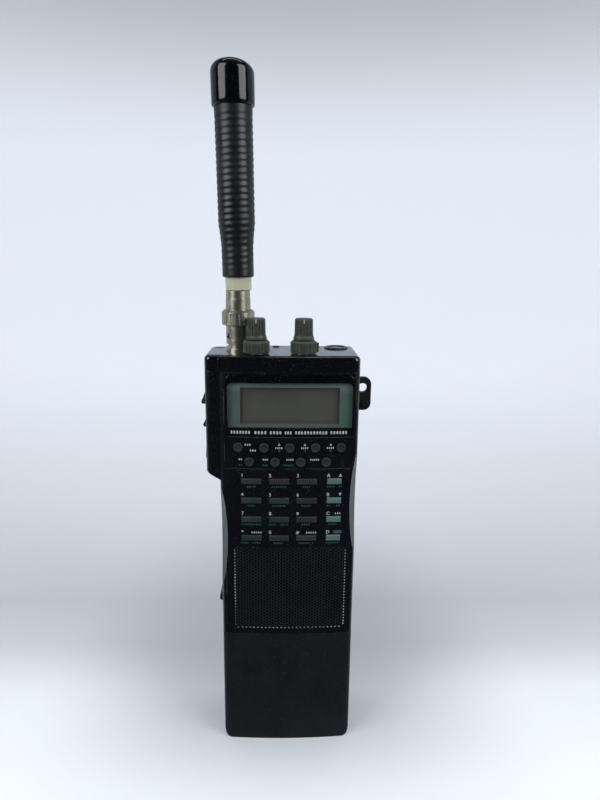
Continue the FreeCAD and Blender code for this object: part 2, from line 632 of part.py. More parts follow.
# ---------------------------------------------------------------- controls on the cover
def make_pots():
    """Two stacked potentiometers, each with a threaded bush through the cover."""
    pots = []
    for side in ("left", "right"):
        x = f"{side}_knob_x"
        case = block(side + "_pot_case", (f"{x} - pot_half", f"{x} + pot_half"),
                     ("knob_y - 3.6", "knob_y + pot_half"), ("pot_top - pot_tall", "pot_top"))
        bush = rod(side + "_pot_bush", "bush_radius", (x, "knob_y", "pot_top"),
                   "total_height + 0.2 - pot_top")
        bore = rod(side + "_pot_bore", "sleeve_radius + shaft_gap",
                   (x, "knob_y", "pot_top - 3"), "20")
        deep = rod(side + "_pot_deep", "shaft_radius + shaft_gap",
                   (x, "knob_y", "pot_top - 6"), "20")
        pots.append(cut(side + "_pot", fuse(side + "_pot_solid", case, bush), bore, deep))
    group = doc.addObject("Part::Compound", "potentiometers")
    group.Links = pots
    node(group, "potentiometers")


def make_knobs():
    """Outer ring and inner knob of each control, both with their own shafts."""
    for side in ("left", "right"):
        x = f"{side}_knob_x"
        centre = (x, "knob_y")
        bore = "shaft_radius + shaft_gap"
        ring = revolved(side + "_ring_turned", (
            (bore, "pot_top - 2.8"), ("sleeve_radius", "pot_top - 2.8"),
            ("sleeve_radius", "ring_foot"), ("ring_radius - 0.3", "ring_foot"),
            ("ring_radius", "ring_foot + 0.3"), ("ring_radius", "ring_top - 0.8"),
            ("ring_radius - 0.8", "ring_top"), (bore, "ring_top")), (*centre, 0))
        flutes = ring_of_rods(side + "_ring_flutes", 20, "flute_radius", "ring_radius + 0.1",
                              centre, "ring_foot - 1", "ring_top + 1")
        reach, thick = ("ring_radius - 1", "ring_radius + ring_tab"), ("-0.5", "0.5")
        across, along = (thick, reach) if side == "left" else (reach, thick)
        tab = block(side + "_ring_tab", [f"{x} + {edge}" for edge in across],
                    [f"knob_y + {edge}" for edge in along], ("ring_foot + 0.5", "ring_top - 1"))
        name = side + "_knob_outer"
        node(cut(name, fuse(side + "_ring_solid", ring, tab), flutes), name)
        knob = revolved(side + "_knob_turned", (
            (0, "pot_top - 5.8"), ("shaft_radius", "pot_top - 5.8"),
            ("shaft_radius", "knob_foot"), ("knob_skirt", "knob_foot"),
            ("knob_skirt", "knob_foot + 1"), ("knob_radius + 0.15", "knob_foot + 2"),
            ("knob_radius", "knob_top - 0.5"), ("knob_radius - 0.5", "knob_top"),
            (0, "knob_top")), (*centre, 0))
        flutes = ring_of_rods(side + "_knob_flutes", 18, "flute_radius", "knob_radius + 0.15",
                              centre, "knob_foot + 1.6", "knob_top + 1")
        name = side + "_knob_inner"
        node(cut(name, knob, flutes), name)


def make_fittings():
    """Jack cover, indicator lens and strap bracket."""
    x, y = "cover_jack_x", "cover_jack_y"
    cap = revolved("jack_cap", (
        (0, "total_height - 0.65"), ("cover_jack_radius", "total_height - 0.65"),
        ("cover_jack_radius", "total_height + 0.3"),
        ("cover_jack_radius - 0.4", "total_height + 0.7"),
        ("cover_jack_radius - 1.2", "total_height + 0.7"),
        ("cover_jack_radius - 1.6", "total_height + 0.3"),
        (0, "total_height + 0.4")), (x, y, 0))
    stubs = [rod(f"jack_stub_{index}", radius, (f"{x} + ({shift})", y, "total_height - 4"), "3.6")
             for index, (shift, radius) in enumerate((("-2.6", "1.75"), ("2.6", "1.25")))]
    node(fuse("jack_cover", cap, *stubs), "jack_cover")
    lens = revolved("led_lens", (
        (0, "total_height - 2.6"), ("led_radius", "total_height - 2.6"),
        ("led_radius", "total_height + 0.1"), ("led_radius - 0.5", "total_height + 0.45"),
        (0, "total_height + 0.6")), ("led_x", "led_y", 0))
    node(lens, "led_lens")
    plate = block("strap_plate", (HALF, "strap_outer"),
                  ("strap_front", "strap_front + strap_thick"), ("strap_foot", "strap_top"))
    plate = rounded("strap_soft", plate, "3.4", lambda edge: runs_along("y")(edge)
                    and edge.BoundBox.XMin > number("strap_outer - 1"))
    eye = rod("strap_eye", "strap_hole", ("strap_x", "strap_front - 1", "strap_z"), "5", "y")
    hole = rod("strap_screw_hole", "0.95", ("strap_screw_x", "strap_front - 1", "strap_screw_z"),
               "5", "y")
    node(cut("strap_bracket", plate, eye, hole), "strap_bracket")


# ---------------------------------------------------------------- antenna
LUG_ANGLES = (200.0, 20.0)


def make_jack():
    """Bayonet antenna socket with its two lugs and centre contact."""
    centre = ("antenna_x", "antenna_y")
    shell = revolved("jack_shell", (
        ("jack_bore", "jack_foot + 2"), ("jack_bore", "jack_top"),
        ("jack_radius - 0.3", "jack_top"), ("jack_radius", "jack_top - 0.3"),
        ("jack_radius", "total_height + 1.2"), ("jack_nut", "total_height + 1"),
        ("jack_nut", "total_height"), ("jack_radius", "total_height"),
        ("jack_radius", "total_height - cover_wall"),
        ("jack_nut", "total_height - cover_wall"), ("jack_nut", "total_height - 4.4"),
        ("jack_radius", "total_height - 4.4"), ("jack_radius", "jack_foot"),
        (0, "jack_foot"), (0, "jack_foot + 2")), (*centre, 0))
    contact = revolved("jack_contact", (
        (0.8, "jack_foot + 1"), (1.3, "jack_foot + 1"), (1.3, "jack_top - 2"),
        (0.8, "jack_top - 2")), (*centre, 0))
    lugs = []
    for index, angle in enumerate(LUG_ANGLES):
        lug = rod(f"jack_lug_{index}", "lug_radius", (*centre, "lug_z"), "lug_reach - 4.4")
        aim = Vector(math.cos(math.radians(angle)), math.sin(math.radians(angle)), 0)
        lug.Placement.Rotation = Rotation(Vector(0, 0, 1), aim)
        lugs.append(put(lug, (f"antenna_x + ({aim.x:.6f})*4.4", f"antenna_y + ({aim.y:.6f})*4.4",
                              "lug_z")))
    node(fuse("bnc_jack", shell, contact, *lugs), "bnc_jack")


def slot_cutters():
    """Rods stepped along each bayonet slot: it climbs as the nut turns back."""
    steps = 10
    cutters = []
    for index, angle in enumerate(LUG_ANGLES):
        for step in range(steps + 1):
            share = step / steps
            turn = math.radians(angle + 90.0 * share)
            aim = Vector(math.cos(turn), math.sin(turn), 0)
            cutter = rod(f"slot_{index}_{step}", "slot_radius", (0, 0, 0), "3")
            cutter.Placement.Rotation = Rotation(Vector(0, 0, 1), aim)
            cutters.append(put(cutter, (
                f"antenna_x + ({aim.x:.6f})*4.4", f"antenna_y + ({aim.y:.6f})*4.4",
                f"lug_z - unlock_lift*({share})")))
        gate_turn = math.radians(angle + 90.0)
        gate_aim = Vector(math.cos(gate_turn), math.sin(gate_turn), 0)
        cutters.append(rod(f"slot_gate_{index}", "slot_radius",
                           (f"antenna_x + ({gate_aim.x:.6f})*nut_radius",
                            f"antenna_y + ({gate_aim.y:.6f})*nut_radius", "nut_foot - 1"),
                           "lug_z - unlock_lift - nut_foot + 1"))
    return cutters


def make_antenna():
    """Coupling nut, plug, collar, rubber sheath and tip cap."""
    centre = ("antenna_x", "antenna_y")
    nut = revolved("nut_turned", (
        ("nut_bore", "nut_foot"), ("nut_radius", "nut_foot"),
        ("nut_radius", "grip_foot"), ("grip_radius - 0.4", "grip_foot"),
        ("grip_radius", "grip_foot + 0.4"), ("grip_radius", "grip_top - 1.1"),
        ("grip_radius - 0.9", "grip_top"), ("ferrule_radius + 0.15", "grip_top"),
        ("ferrule_radius + 0.15", "grip_top - 1"), ("grip_radius - 0.9", "grip_top - 1"),
        ("grip_radius - 0.9", "grip_foot + 1"), ("nut_bore", "grip_foot + 1")), (*centre, 0))
    knurl = ring_of_rods("nut_knurl", 24, "0.35", "grip_radius + 0.15", centre,
                         "grip_foot + 0.6", "grip_top - 1.3")
    node(cut("bnc_coupling_nut", nut, knurl, *slot_cutters()), "bnc_coupling_nut")
    plug = revolved("plug_turned", (
        (1.5, "plug_foot"), ("plug_radius", "plug_foot"),
        ("plug_radius", "jack_top + 0.8"), ("grip_radius - 1.1", "jack_top + 1.8"),
        ("grip_radius - 1.1", "grip_top - 1.2"), ("ferrule_radius", "grip_top - 1.2"),
        ("ferrule_radius", "ferrule_top - 3.6"), ("ferrule_radius - 0.2", "ferrule_top - 3.4"),
        ("ferrule_radius - 0.2", "ferrule_top"), (0, "ferrule_top"), (0, "jack_top"),
        (1.5, "jack_top")), (*centre, 0))
    pin = rod("plug_pin", "0.65", (*centre, "plug_foot + 0.6"), "jack_top + 1 - plug_foot")
    node(fuse("antenna_plug", plug, pin), "antenna_plug")
    lean = Rotation(Vector(0, 1, 0), -number("lean"))
    foot = ("antenna_x + whip_shift", "antenna_y", "ferrule_top")
    collar = revolved("antenna_collar", (
        (0, 0.15), ("collar_radius - 0.3", 0.15), ("collar_radius", 0.45),
        ("collar_radius", "collar_tall"), (3, "collar_tall"), (3, 16), (0, 16)))
    sheath = revolved("antenna_sheath", (
        (3, "collar_tall"), ("sheath_foot_radius - 0.4", "collar_tall"),
        ("sheath_foot_radius", "collar_tall + 0.4"), ("sheath_foot_radius + 0.05", 19.5),
        ("sheath_radius", 29.5), ("sheath_top_radius", "sheath_tall"),
        ("tip_bore", "sheath_tall"), ("tip_bore", "sheath_tall + 10"),
        (0, "sheath_tall + 10"), (0, 16), (3, 16)))
    tip = revolved("antenna_tip", (
        ("tip_bore", "sheath_tall"), ("tip_radius - 0.3", "sheath_tall"),
        ("tip_radius - 0.1", "sheath_tall + 1"), ("tip_radius", "sheath_tall + 6"),
        ("tip_radius", "tip_top - 6"), ("tip_radius - 4.9", "tip_top - 0.6"),
        (0, "tip_top"), (0, "sheath_tall + 10"), ("tip_bore", "sheath_tall + 10")),
        arcs={4: "5.5"})
    for item, label in ((collar, "antenna_collar"), (sheath, "antenna_sheath"),
                        (tip, "antenna_tip")):
        item.Placement.Rotation = lean
        node(put(item, foot), label)


# ---------------------------------------------------------------- side controls
def wedge(name, low, high, proud, front, back):
    """A side key: it swells outwards towards its foot, with a flange inside."""
    wall_in = f"{LEFT} + bulge_wall"
    points = ((f"{LEFT} - 0.3", high), (f"{wall_in} + 0.2", high), (f"{wall_in} + 0.2", low),
              (f"{LEFT} - {proud} + 0.5", low), (f"{LEFT} - {proud}", f"{low} + 1"))
    cap = padded(name + "_cap", "XZ_Plane", points, f"{back} - {front}", (0, back, 0))
    flange = block(name + "_flange", (f"{wall_in} + 0.15", f"{wall_in} + 1"),
                   (f"{front} - 1", f"{back} + 1"), (f"{low} - 0.5", f"{high} + 0.5"))
    return node(fuse(name, cap, flange), name)


def make_side_controls():
    """Push-to-talk bar, two side keys and the battery release."""
    wedge("ptt_bar", "ptt_low", "ptt_high", "ptt_proud", "ptt_front", "ptt_back")
    wedge("side_key_upper", "upper_low", "upper_high", "upper_proud", "side_front", "side_back")
    wedge("side_key_lower", "lower_low", "lower_high", "lower_proud", "side_front", "side_back")
    seat = f"-{HALF} + release_seat - 0.05"
    rib, crest = f"-{HALF} - 1", f"-{HALF} - release_proud"
    points = ((f"-{HALF} - 0.2", "release_high"), (seat, "release_high"), (seat, "release_low"),
              (f"-{HALF}", "release_low"), (f"-{HALF}", "release_low + 2.6"),
              (rib, "release_low + 3.1"), (rib, "release_low + 8"),
              (crest, "release_low + 8.8"), (crest, "release_low + 11"))
    thumb = padded("release_thumb", "XZ_Plane", points, "2*release_half",
                   (0, "release_half", 0))
    stem = block("release_stem", (f"-{HALF} + 0.5", "catch_x - 0.5"),
                 ("-catch_half", "catch_half"), ("release_low + 0.1", "release_low + 1.4"))
    node(fuse("battery_release", thumb, stem), "battery_release")


# ---------------------------------------------------------------- battery pack
def make_latch():
    """Plate with the four hooks that hold the pack, and the spring catch."""
    floor = ("battery_height", "battery_height + 1.5")
    plate = block("rail_sheet", (f"-{HALF} + case_wall", f"{HALF} - case_wall"),
                  (BACK_OF_WALL, "case_depth/2 - back_wall"), floor)
    slot = block("rail_slot", ("catch_x - 0.3", "catch_x + catch_thick + 0.3"),
                 ("-catch_half - 0.3", "catch_half + 0.3"), ("battery_height - 1", "70"))
    hooks = []
    for index, (x, y) in enumerate(hook_places()):
        neck = block(f"hook_neck_{index}", (f"{x} - hook_long/2", f"{x} + hook_long/2"),
                     (f"{y} - hook_neck", f"{y} + hook_neck"),
                     ("battery_height - 2.8", "battery_height + 0.5"))
        head = block(f"hook_head_{index}", (f"{x} - hook_long/2", f"{x} + hook_long/2"),
                     (f"{y} - hook_head", f"{y} + hook_head"),
                     ("battery_height - 4", "battery_height - 2.8"))
        hooks += [neck, head]
    node(cut("rail_plate", fuse("rail_solid", plate, *hooks), slot), "rail_plate")

    low = "battery_height + 1.5"
    high = "release_low + 1.5"
    foot = block("leaf_foot", ("catch_x + 5", "catch_x + 18"), ("-3", "3"),
                 (low, f"{low} + leaf_thick"))
    riser = block("leaf_riser", ("catch_x + 5", "catch_x + 5 + leaf_thick"), ("-3", "3"),
                  (low, f"{high} + leaf_thick"))
    arm = block("leaf_arm", ("catch_x - 2.5", "catch_x + 5.2"), ("-3", "3"),
                (high, f"{high} + leaf_thick"))
    catch = block("leaf_catch", ("catch_x", "catch_x + catch_thick"),
                  ("-catch_half", "catch_half"), ("battery_height - 1.8", high))
    node(fuse("latch_spring", foot, riser, arm, catch), "latch_spring")


def hook_places():
    for x in ("-hook_x + 2", "hook_x"):
        for y in ("-hook_y", "hook_y"):
            yield x, y


def make_battery():
    """Pack case, slotted top plate and eight cells."""
    top = "battery_height - split_gap"
    body = crowned("pack_outer", "0", top)
    along_y = runs_along("y")
    whole = block("pack_blank", (f"-{HALF}", HALF), ("-20", "20"), ("0", "battery_height"))
    arch = rounded("pack_arch", whole, "pack_foot_round",
                   lambda edge: along_y(edge) and edge.BoundBox.ZMax < 1)
    shell = common("pack_shell", body, arch)
    hollow = block("pack_hollow", (f"-{HALF} + pack_wall", f"{HALF} - pack_wall"),
                   ("-case_depth/2 + pack_wall + crown", "case_depth/2 - pack_wall"),
                   ("pack_wall", "battery_height + 1"))
    hollow = rounded("pack_hollow_soft", hollow, "3", lambda edge: along_y(edge)
                     and edge.BoundBox.ZMax < 5)
    node(cut("battery_case", shell, hollow), "battery_case")

    lid = block("pack_lid", (f"-{HALF} + pack_wall", f"{HALF} - pack_wall"),
                ("-case_depth/2 + pack_wall + crown", "case_depth/2 - pack_wall"),
                (f"{top} - 0.1 - plate_thick", f"{top} - 0.1"))
    slots = []
    for index, (x, y) in enumerate(hook_places()):
        slots.append(block(f"slot_narrow_{index}",
                           (f"{x} - slide_travel", f"{x} + hook_long/2 + 0.3"),
                           (f"{y} - hook_neck - 0.3", f"{y} + hook_neck + 0.3"),
                           ("50", "70")))
        slots.append(block(f"slot_wide_{index}",
                           (f"{x} - slide_travel - hook_long/2 - 0.5",
                            f"{x} - slide_travel + hook_long/2 + 0.5"),
                           (f"{y} - hook_head - 0.4", f"{y} + hook_head + 0.4"), ("50", "70")))
    slots.append(block("catch_notch", ("catch_x - 0.2", "catch_x + catch_thick + 0.2"),
                       ("-catch_half - 0.3", "catch_half + 0.3"), ("50", "70")))
    node(cut("battery_top_plate", lid, *slots), "battery_top_plate")

    cells = []
    for column in range(4):
        for line in (-1, 1):
            profile = ((0, 0), ("cell_radius - 0.4", 0), ("cell_radius", 0.4),
                       ("cell_radius", "cell_tall - 1.6"), ("cell_radius - 0.8", "cell_tall - 1"),
                       (2.6, "cell_tall - 1"), (2.6, "cell_tall"), (0, "cell_tall"))
            place = (f"({column} - 1.5)*cell_pitch", f"0.75 + ({line})*cell_pitch/2",
                     "pack_wall + 0.5")
            cells.append(revolved(f"cell_{column}_{line + 1}", profile, place))
    group = doc.addObject("Part::Compound", "battery_cells")
    group.Links = cells
    node(group, "battery_cells")


def export():
    """Check every object and sub-part, then write one STEP file per sub-part."""
    doc.recompute()
    failed = [item.Name for item in doc.Objects
              if any(word in item.State for word in ("Invalid", "Error"))]
    if failed:
        raise RuntimeError(f"objects failed: {failed}")
    os.makedirs("parts", exist_ok=True)
    for item in nodes:
        shape = item.Shape
        if shape.isNull() or not shape.isValid() or not shape.Solids:
            raise RuntimeError(f"bad shape: {item.Label}")
        shape.exportStep(f"parts/{item.Label}.step")
    print(len(nodes), "nodes written")


make_case()
make_screws()
make_cover()
make_display()
make_keys()
make_round_buttons()
make_boards()
make_speaker()
make_pots()
make_knobs()
make_fittings()
make_jack()
make_antenna()
make_side_controls()
make_latch()
make_battery()
export()
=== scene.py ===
"""Looks of the hand-held radio: studio, finishes and the detailed pieces round the CAD frame.

Everything is in metres in the row frame: front towards -Y, +X to the viewer's right, +Z up.
"""

import math

import bmesh
import bpy
from mathutils import Matrix, Vector


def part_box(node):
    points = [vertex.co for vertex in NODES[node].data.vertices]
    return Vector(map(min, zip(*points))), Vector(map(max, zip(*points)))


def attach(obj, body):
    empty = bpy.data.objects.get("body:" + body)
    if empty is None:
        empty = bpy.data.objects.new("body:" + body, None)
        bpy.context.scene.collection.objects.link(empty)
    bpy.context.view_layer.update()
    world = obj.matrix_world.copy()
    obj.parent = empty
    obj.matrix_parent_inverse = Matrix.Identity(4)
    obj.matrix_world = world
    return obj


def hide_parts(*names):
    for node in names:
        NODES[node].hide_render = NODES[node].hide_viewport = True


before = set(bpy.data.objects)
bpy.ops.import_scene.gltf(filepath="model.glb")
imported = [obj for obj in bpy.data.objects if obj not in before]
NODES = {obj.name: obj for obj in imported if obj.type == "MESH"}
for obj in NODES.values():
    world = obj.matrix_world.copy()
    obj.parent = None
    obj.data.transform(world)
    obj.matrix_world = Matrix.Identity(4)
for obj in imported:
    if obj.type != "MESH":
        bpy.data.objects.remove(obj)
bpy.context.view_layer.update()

MM = 0.001
# the front face: how far it falls back at the sides, and the half sizes of the body there
CROWN, HALF_WIDTH, HALF_DEPTH = 1.5 * MM, 31.9 * MM, 18.0 * MM


def face_y(x):
    """Y of the crowned front face at a place across the radio."""
    return -HALF_DEPTH + CROWN * (x / HALF_WIDTH) ** 2


def srgb(red, green, blue):
    """A display colour from 0 to 255 as the linear RGBA that sockets take."""
    def linear(level):
        level /= 255
        return level / 12.92 if level <= 0.04045 else ((level + 0.055) / 1.055) ** 2.4
    return (linear(red), linear(green), linear(blue), 1.0)


# ---------------------------------------------------------------- finishes
class Finish:
    """A Principled material with short calls for the nodes that feed it."""

    def __init__(self, name, **sockets):
        self.material = bpy.data.materials.new(name)
        self.material.use_nodes = True
        self.tree = self.material.node_tree
        self.shader = self.tree.nodes["Principled BSDF"]
        self.place = self.add("ShaderNodeTexCoord").outputs["Object"]
        for socket, value in sockets.items():
            self.shader.inputs[socket.replace("_", " ")].default_value = value

    def add(self, kind, inputs=None, **props):
        made = self.tree.nodes.new(kind)
        for prop, value in props.items():
            setattr(made, prop, value)
        for socket, value in (inputs or {}).items():
            if isinstance(value, bpy.types.NodeSocket):
                self.tree.links.new(value, made.inputs[socket])
            else:
                made.inputs[socket].default_value = value
        return made

    def feed(self, socket, output):
        self.tree.links.new(output, self.shader.inputs[socket])

    def noise(self, scale, detail=3.0, stretch=(1, 1, 1), rough=0.55):
        vector = self.add("ShaderNodeMapping", {"Vector": self.place, "Scale": stretch})
        return self.add("ShaderNodeTexNoise", {
            "Vector": vector.outputs[0], "Scale": scale, "Detail": detail,
            "Roughness": rough}).outputs["Fac"]

    def ramp(self, value, low, high, out_low=0.0, out_high=1.0, curve="SMOOTHSTEP"):
        return self.add("ShaderNodeMapRange", {
            "Value": value, "From Min": low, "From Max": high, "To Min": out_low,
            "To Max": out_high}, interpolation_type=curve).outputs["Result"]

    def mix(self, share, first, second):
        """Blend of two colours; the sockets are numbered, because their names repeat."""
        return self.add("ShaderNodeMix", {0: share, 6: first, 7: second},
                        data_type="RGBA").outputs[2]

    def maths(self, operation, first, second=0.0, third=0.0):
        return self.add("ShaderNodeMath", {0: first, 1: second, 2: third},
                        operation=operation).outputs[0]

    def split(self):
        return self.add("ShaderNodeSeparateXYZ", {"Vector": self.place}).outputs

    def edges(self, radius):
        """The softened normal, and how far it leaves the true one: 0 on flats, 1 at edges."""
        soft = self.add("ShaderNodeBevel", {"Radius": radius}, samples=6).outputs["Normal"]
        true = self.add("ShaderNodeNewGeometry").outputs["Normal"]
        match = self.add("ShaderNodeVectorMath", {0: soft, 1: true},
                         operation="DOT_PRODUCT").outputs["Value"]
        return soft, self.ramp(match, 0.995, 0.86)

    def bump(self, height, depth, normal=None):
        """Relief that deep in metres, over the softened normal where one is given."""
        inputs = {"Height": height, "Distance": depth, "Strength": 1.0}
        if normal is not None:
            inputs["Normal"] = normal
        self.feed("Normal", self.add("ShaderNodeBump", inputs).outputs["Normal"])


def moulded(name, base, patch, rough, grain, edge, round_edge=0.25 * MM, dust=None, **sockets):
    """Plastic, rubber or paint: cloudy colour, smudged gloss, grain, and edges of another colour
    that stand for wear and, on some finishes, a painted highlight.

    rough is (polished, dull); grain is (features per metre, depth); edge is
    (colour, share); dust is the colour of fine specks, if there are any.
    """
    finish = Finish(name, **sockets)
    cloud = finish.ramp(finish.noise(55.0), 0.35, 0.68)
    colour = finish.mix(cloud, base, patch)
    soft, rim = finish.edges(round_edge)
    rub = finish.ramp(finish.noise(420.0, 4.0), 0.42, 0.62)
    # edge colour: rubbed wear, and on case_plastic, gloss_cover, knob and round_key also a painted
    # highlight along the edges
    worn = finish.maths("MULTIPLY", finish.maths("MULTIPLY", rim, rub), edge[1])
    colour = finish.mix(worn, colour, edge[0])
    if dust:
        speck = finish.ramp(finish.noise(2600.0, 1.0), 0.735, 0.76)
        colour = finish.mix(speck, colour, dust)
    finish.feed("Base Color", colour)
    smear = finish.noise(130.0, 5.0, stretch=(1, 1, 0.45))
    finish.feed("Roughness", finish.ramp(smear, 0.32, 0.68, *rough))
    finish.bump(finish.noise(grain[0], 2.0), grain[1], soft)
    return finish


def metal(name, bright, dull, rough, stain, lines=None):
    """Plated or turned metal with stains; lines is the depth of turning marks in millimetres."""
    finish = Finish(name, Metallic=1.0)
    cloud = finish.ramp(finish.noise(170.0, 3.0, stretch=(1, 1, 0.5)), 0.36, 0.66)
    colour = finish.mix(cloud, bright, dull)
    spots = finish.ramp(finish.noise(520.0, 2.0), 0.6, 0.76, 0.0, 0.6)
    colour = finish.mix(spots, colour, stain)
    soft, rim = finish.edges(0.15 * MM)
    finish.feed("Base Color", finish.mix(finish.maths("MULTIPLY", rim, 0.4), colour, bright))
    finish.feed("Roughness", finish.ramp(finish.noise(330.0, 4.0), 0.3, 0.7, *rough))
    marks = finish.noise(2400.0, 1.0, stretch=(0.05, 0.05, 1) if lines else (1, 1, 1))
    finish.bump(marks, (lines or 0.004) * MM, soft)
    return finish


SPECK = srgb(120, 124, 128)
FINISHES = {
    # the pale edge colour is partly wear and partly a painted highlight along the case's edges
    "case_plastic": moulded("case_plastic", srgb(7, 9, 14), srgb(10, 13, 18), (0.2, 0.34),
                            (2600.0, 0.006 * MM), (srgb(84, 90, 96), 0.6), dust=SPECK),
    "cast_case": moulded("cast_case", srgb(12, 14, 16), srgb(18, 20, 22), (0.34, 0.5),
                         (1800.0, 0.03 * MM), (srgb(70, 72, 72), 0.6), dust=SPECK),
    # the pale edge colour is partly wear and partly a painted highlight along the cover's edges
    "gloss_cover": moulded("gloss_cover", srgb(4, 5, 9), srgb(7, 8, 13), (0.1, 0.22),
                           (900.0, 0.004 * MM), (srgb(86, 92, 100), 0.6), round_edge=0.35 * MM,
                           dust=SPECK, Coat_Weight=0.5, Coat_Roughness=0.08),
    "window": moulded("window", srgb(4, 5, 8), srgb(6, 7, 10), (0.05, 0.12),
                      (500.0, 0.002 * MM), (srgb(60, 64, 70), 0.35), dust=SPECK),
    "sheath": moulded("sheath", srgb(15, 18, 20), srgb(22, 25, 27), (0.3, 0.42),
                      (2200.0, 0.02 * MM), (srgb(60, 62, 62), 0.3), dust=SPECK),
    "tip": moulded("tip", srgb(5, 5, 8), srgb(8, 8, 11), (0.07, 0.14),
                   (420.0, 0.02 * MM), (srgb(40, 42, 46), 0.3), dust=SPECK),
    "pack": moulded("pack", srgb(20, 23, 26), srgb(25, 29, 32), (0.4, 0.55),
                    (2900.0, 0.02 * MM), (srgb(62, 66, 68), 0.5), dust=SPECK),
    # the pale edge colour is a painted highlight on the ribs, with some wear
    "knob": moulded("knob", srgb(62, 69, 56), srgb(50, 56, 46), (0.34, 0.52),
                    (3000.0, 0.02 * MM), (srgb(150, 156, 134), 0.75), round_edge=0.3 * MM),
    "rubber_key": moulded("rubber_key", srgb(54, 57, 57), srgb(42, 46, 48), (0.5, 0.68),
                          (3400.0, 0.02 * MM), (srgb(92, 94, 90), 0.5)),
    "green_key": moulded("green_key", srgb(106, 134, 128), srgb(93, 120, 114), (0.5, 0.66),
                         (3400.0, 0.02 * MM), (srgb(150, 184, 168), 0.5)),
    # the pale edge colour paints the highlight ring of the dished top, with some wear
    "round_key": moulded("round_key", srgb(44, 48, 50), srgb(34, 38, 40), (0.48, 0.64),
                         (3400.0, 0.02 * MM), (srgb(132, 138, 138), 0.9), round_edge=0.5 * MM),
    "dark_button": moulded("dark_button", srgb(22, 24, 26), srgb(30, 32, 34), (0.4, 0.58),
                           (2600.0, 0.02 * MM), (srgb(80, 84, 84), 0.6)),
    "olive_button": moulded("olive_button", srgb(64, 68, 58), srgb(52, 56, 48), (0.42, 0.6),
                            (2600.0, 0.02 * MM), (srgb(110, 112, 100), 0.6)),
    "ivory": moulded("ivory", srgb(216, 217, 187), srgb(200, 203, 172), (0.34, 0.5),
                     (1500.0, 0.01 * MM), (srgb(226, 226, 206), 0.4),
                     Subsurface_Weight=0.25, Subsurface_Radius=(0.004, 0.004, 0.002)),
    "grille": moulded("grille", srgb(21, 26, 29), srgb(26, 31, 34), (0.34, 0.5),
                      (3600.0, 0.006 * MM), (srgb(96, 100, 100), 0.4), round_edge=0.06 * MM),
    "bead": moulded("bead", srgb(206, 210, 204), srgb(104, 108, 106), (0.3, 0.5),
                    (2600.0, 0.02 * MM), (srgb(214, 216, 210), 0.5), round_edge=0.1 * MM),
    "speaker": moulded("speaker", srgb(5, 6, 7), srgb(3, 3, 4), (0.8, 0.95),
                       (4200.0, 0.05 * MM), (srgb(20, 20, 20), 0.3), Specular_IOR_Level=0.15),
    "membrane": moulded("membrane", srgb(96, 98, 96), srgb(80, 84, 82), (0.6, 0.75),
                        (2600.0, 0.02 * MM), (srgb(130, 132, 128), 0.3)),
    "board": moulded("board", srgb(24, 74, 48), srgb(16, 60, 40), (0.3, 0.5),
                     (1300.0, 0.03 * MM), (srgb(150, 140, 70), 0.6)),
    "cells": moulded("cells", srgb(44, 92, 70), srgb(36, 78, 62), (0.25, 0.4),
                     (700.0, 0.01 * MM), (srgb(160, 164, 160), 0.6)),
    "brass": metal("brass", srgb(194, 191, 174), srgb(178, 171, 152), (0.28, 0.4),
                   srgb(152, 140, 112), lines=0.0015),
    "steel": metal("steel", srgb(166, 166, 164), srgb(120, 120, 118), (0.28, 0.48),
                   srgb(84, 78, 70)),
    "black_steel": metal("black_steel", srgb(98, 100, 102), srgb(64, 66, 68), (0.26, 0.46),
                         srgb(30, 28, 26)),
    "flap": moulded("flap", srgb(30, 32, 35), srgb(40, 43, 46), (0.16, 0.3),
                    (1700.0, 0.01 * MM), (srgb(12, 12, 12), 0.8), round_edge=0.4 * MM),
}


def mask_finish():
    """Printed mask round the display: greener at its ends, and painted paler at its top to offset
    the shade the surround casts there.
    """
    finish = Finish("mask")
    x, _, z = finish.split()[0:3]
    # painted light: the top of the mask is made paler, against the surround's shade
    head = finish.ramp(z, 181.5 * MM, 185.5 * MM)
    ends = finish.ramp(finish.maths("ABSOLUTE", x), 16 * MM, 28 * MM)
    right = finish.ramp(x, 18 * MM, 30 * MM)
    grain = finish.ramp(finish.noise(1500.0, 2.0), 0.3, 0.7, 0.0, 0.35)
    colour = finish.mix(ends, srgb(106, 119, 114), srgb(101, 121, 113))
    colour = finish.mix(right, colour, srgb(89, 126, 110))
    # the paler colour painted at the top, where the surround shades the mask
    colour = finish.mix(head, colour, srgb(150, 168, 160))
    finish.feed("Base Color", finish.mix(grain, colour, srgb(91, 104, 97)))
    finish.feed("Roughness", finish.ramp(finish.noise(300.0), 0.3, 0.7, 0.5, 0.64))
    finish.bump(finish.noise(3000.0), 0.008 * MM)
    return finish


def glass_finish():
    """Reflective liquid-crystal panel: warm grey, with painted shade towards its border."""
    low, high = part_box("lcd_panel")
    middle, half = (low + high) / 2, (high - low) / 2
    finish = Finish("lcd")
    x, _, z = finish.split()[0:3]
    across = finish.maths("ABSOLUTE", finish.maths("SUBTRACT", x, middle.x))
    up = finish.maths("ABSOLUTE", finish.maths("SUBTRACT", z, middle.z))
    # painted shade: the panel darker towards its border
    shade = finish.maths("MAXIMUM", finish.ramp(across, 0.72 * half.x, 0.94 * half.x),
                         finish.ramp(up, 0.55 * half.z, 0.92 * half.z))
    cloud = finish.ramp(finish.noise(60.0), 0.3, 0.7)
    colour = finish.mix(cloud, srgb(106, 103, 96), srgb(98, 97, 90))
    finish.feed("Base Color", finish.mix(finish.maths("MULTIPLY", shade, 0.6), colour,
                                      srgb(77, 77, 71)))
    finish.feed("Roughness", finish.ramp(finish.noise(800.0), 0.3, 0.7, 0.3, 0.42))
    finish.bump(finish.noise(900.0, 1.0), 0.001 * MM)
    return finish


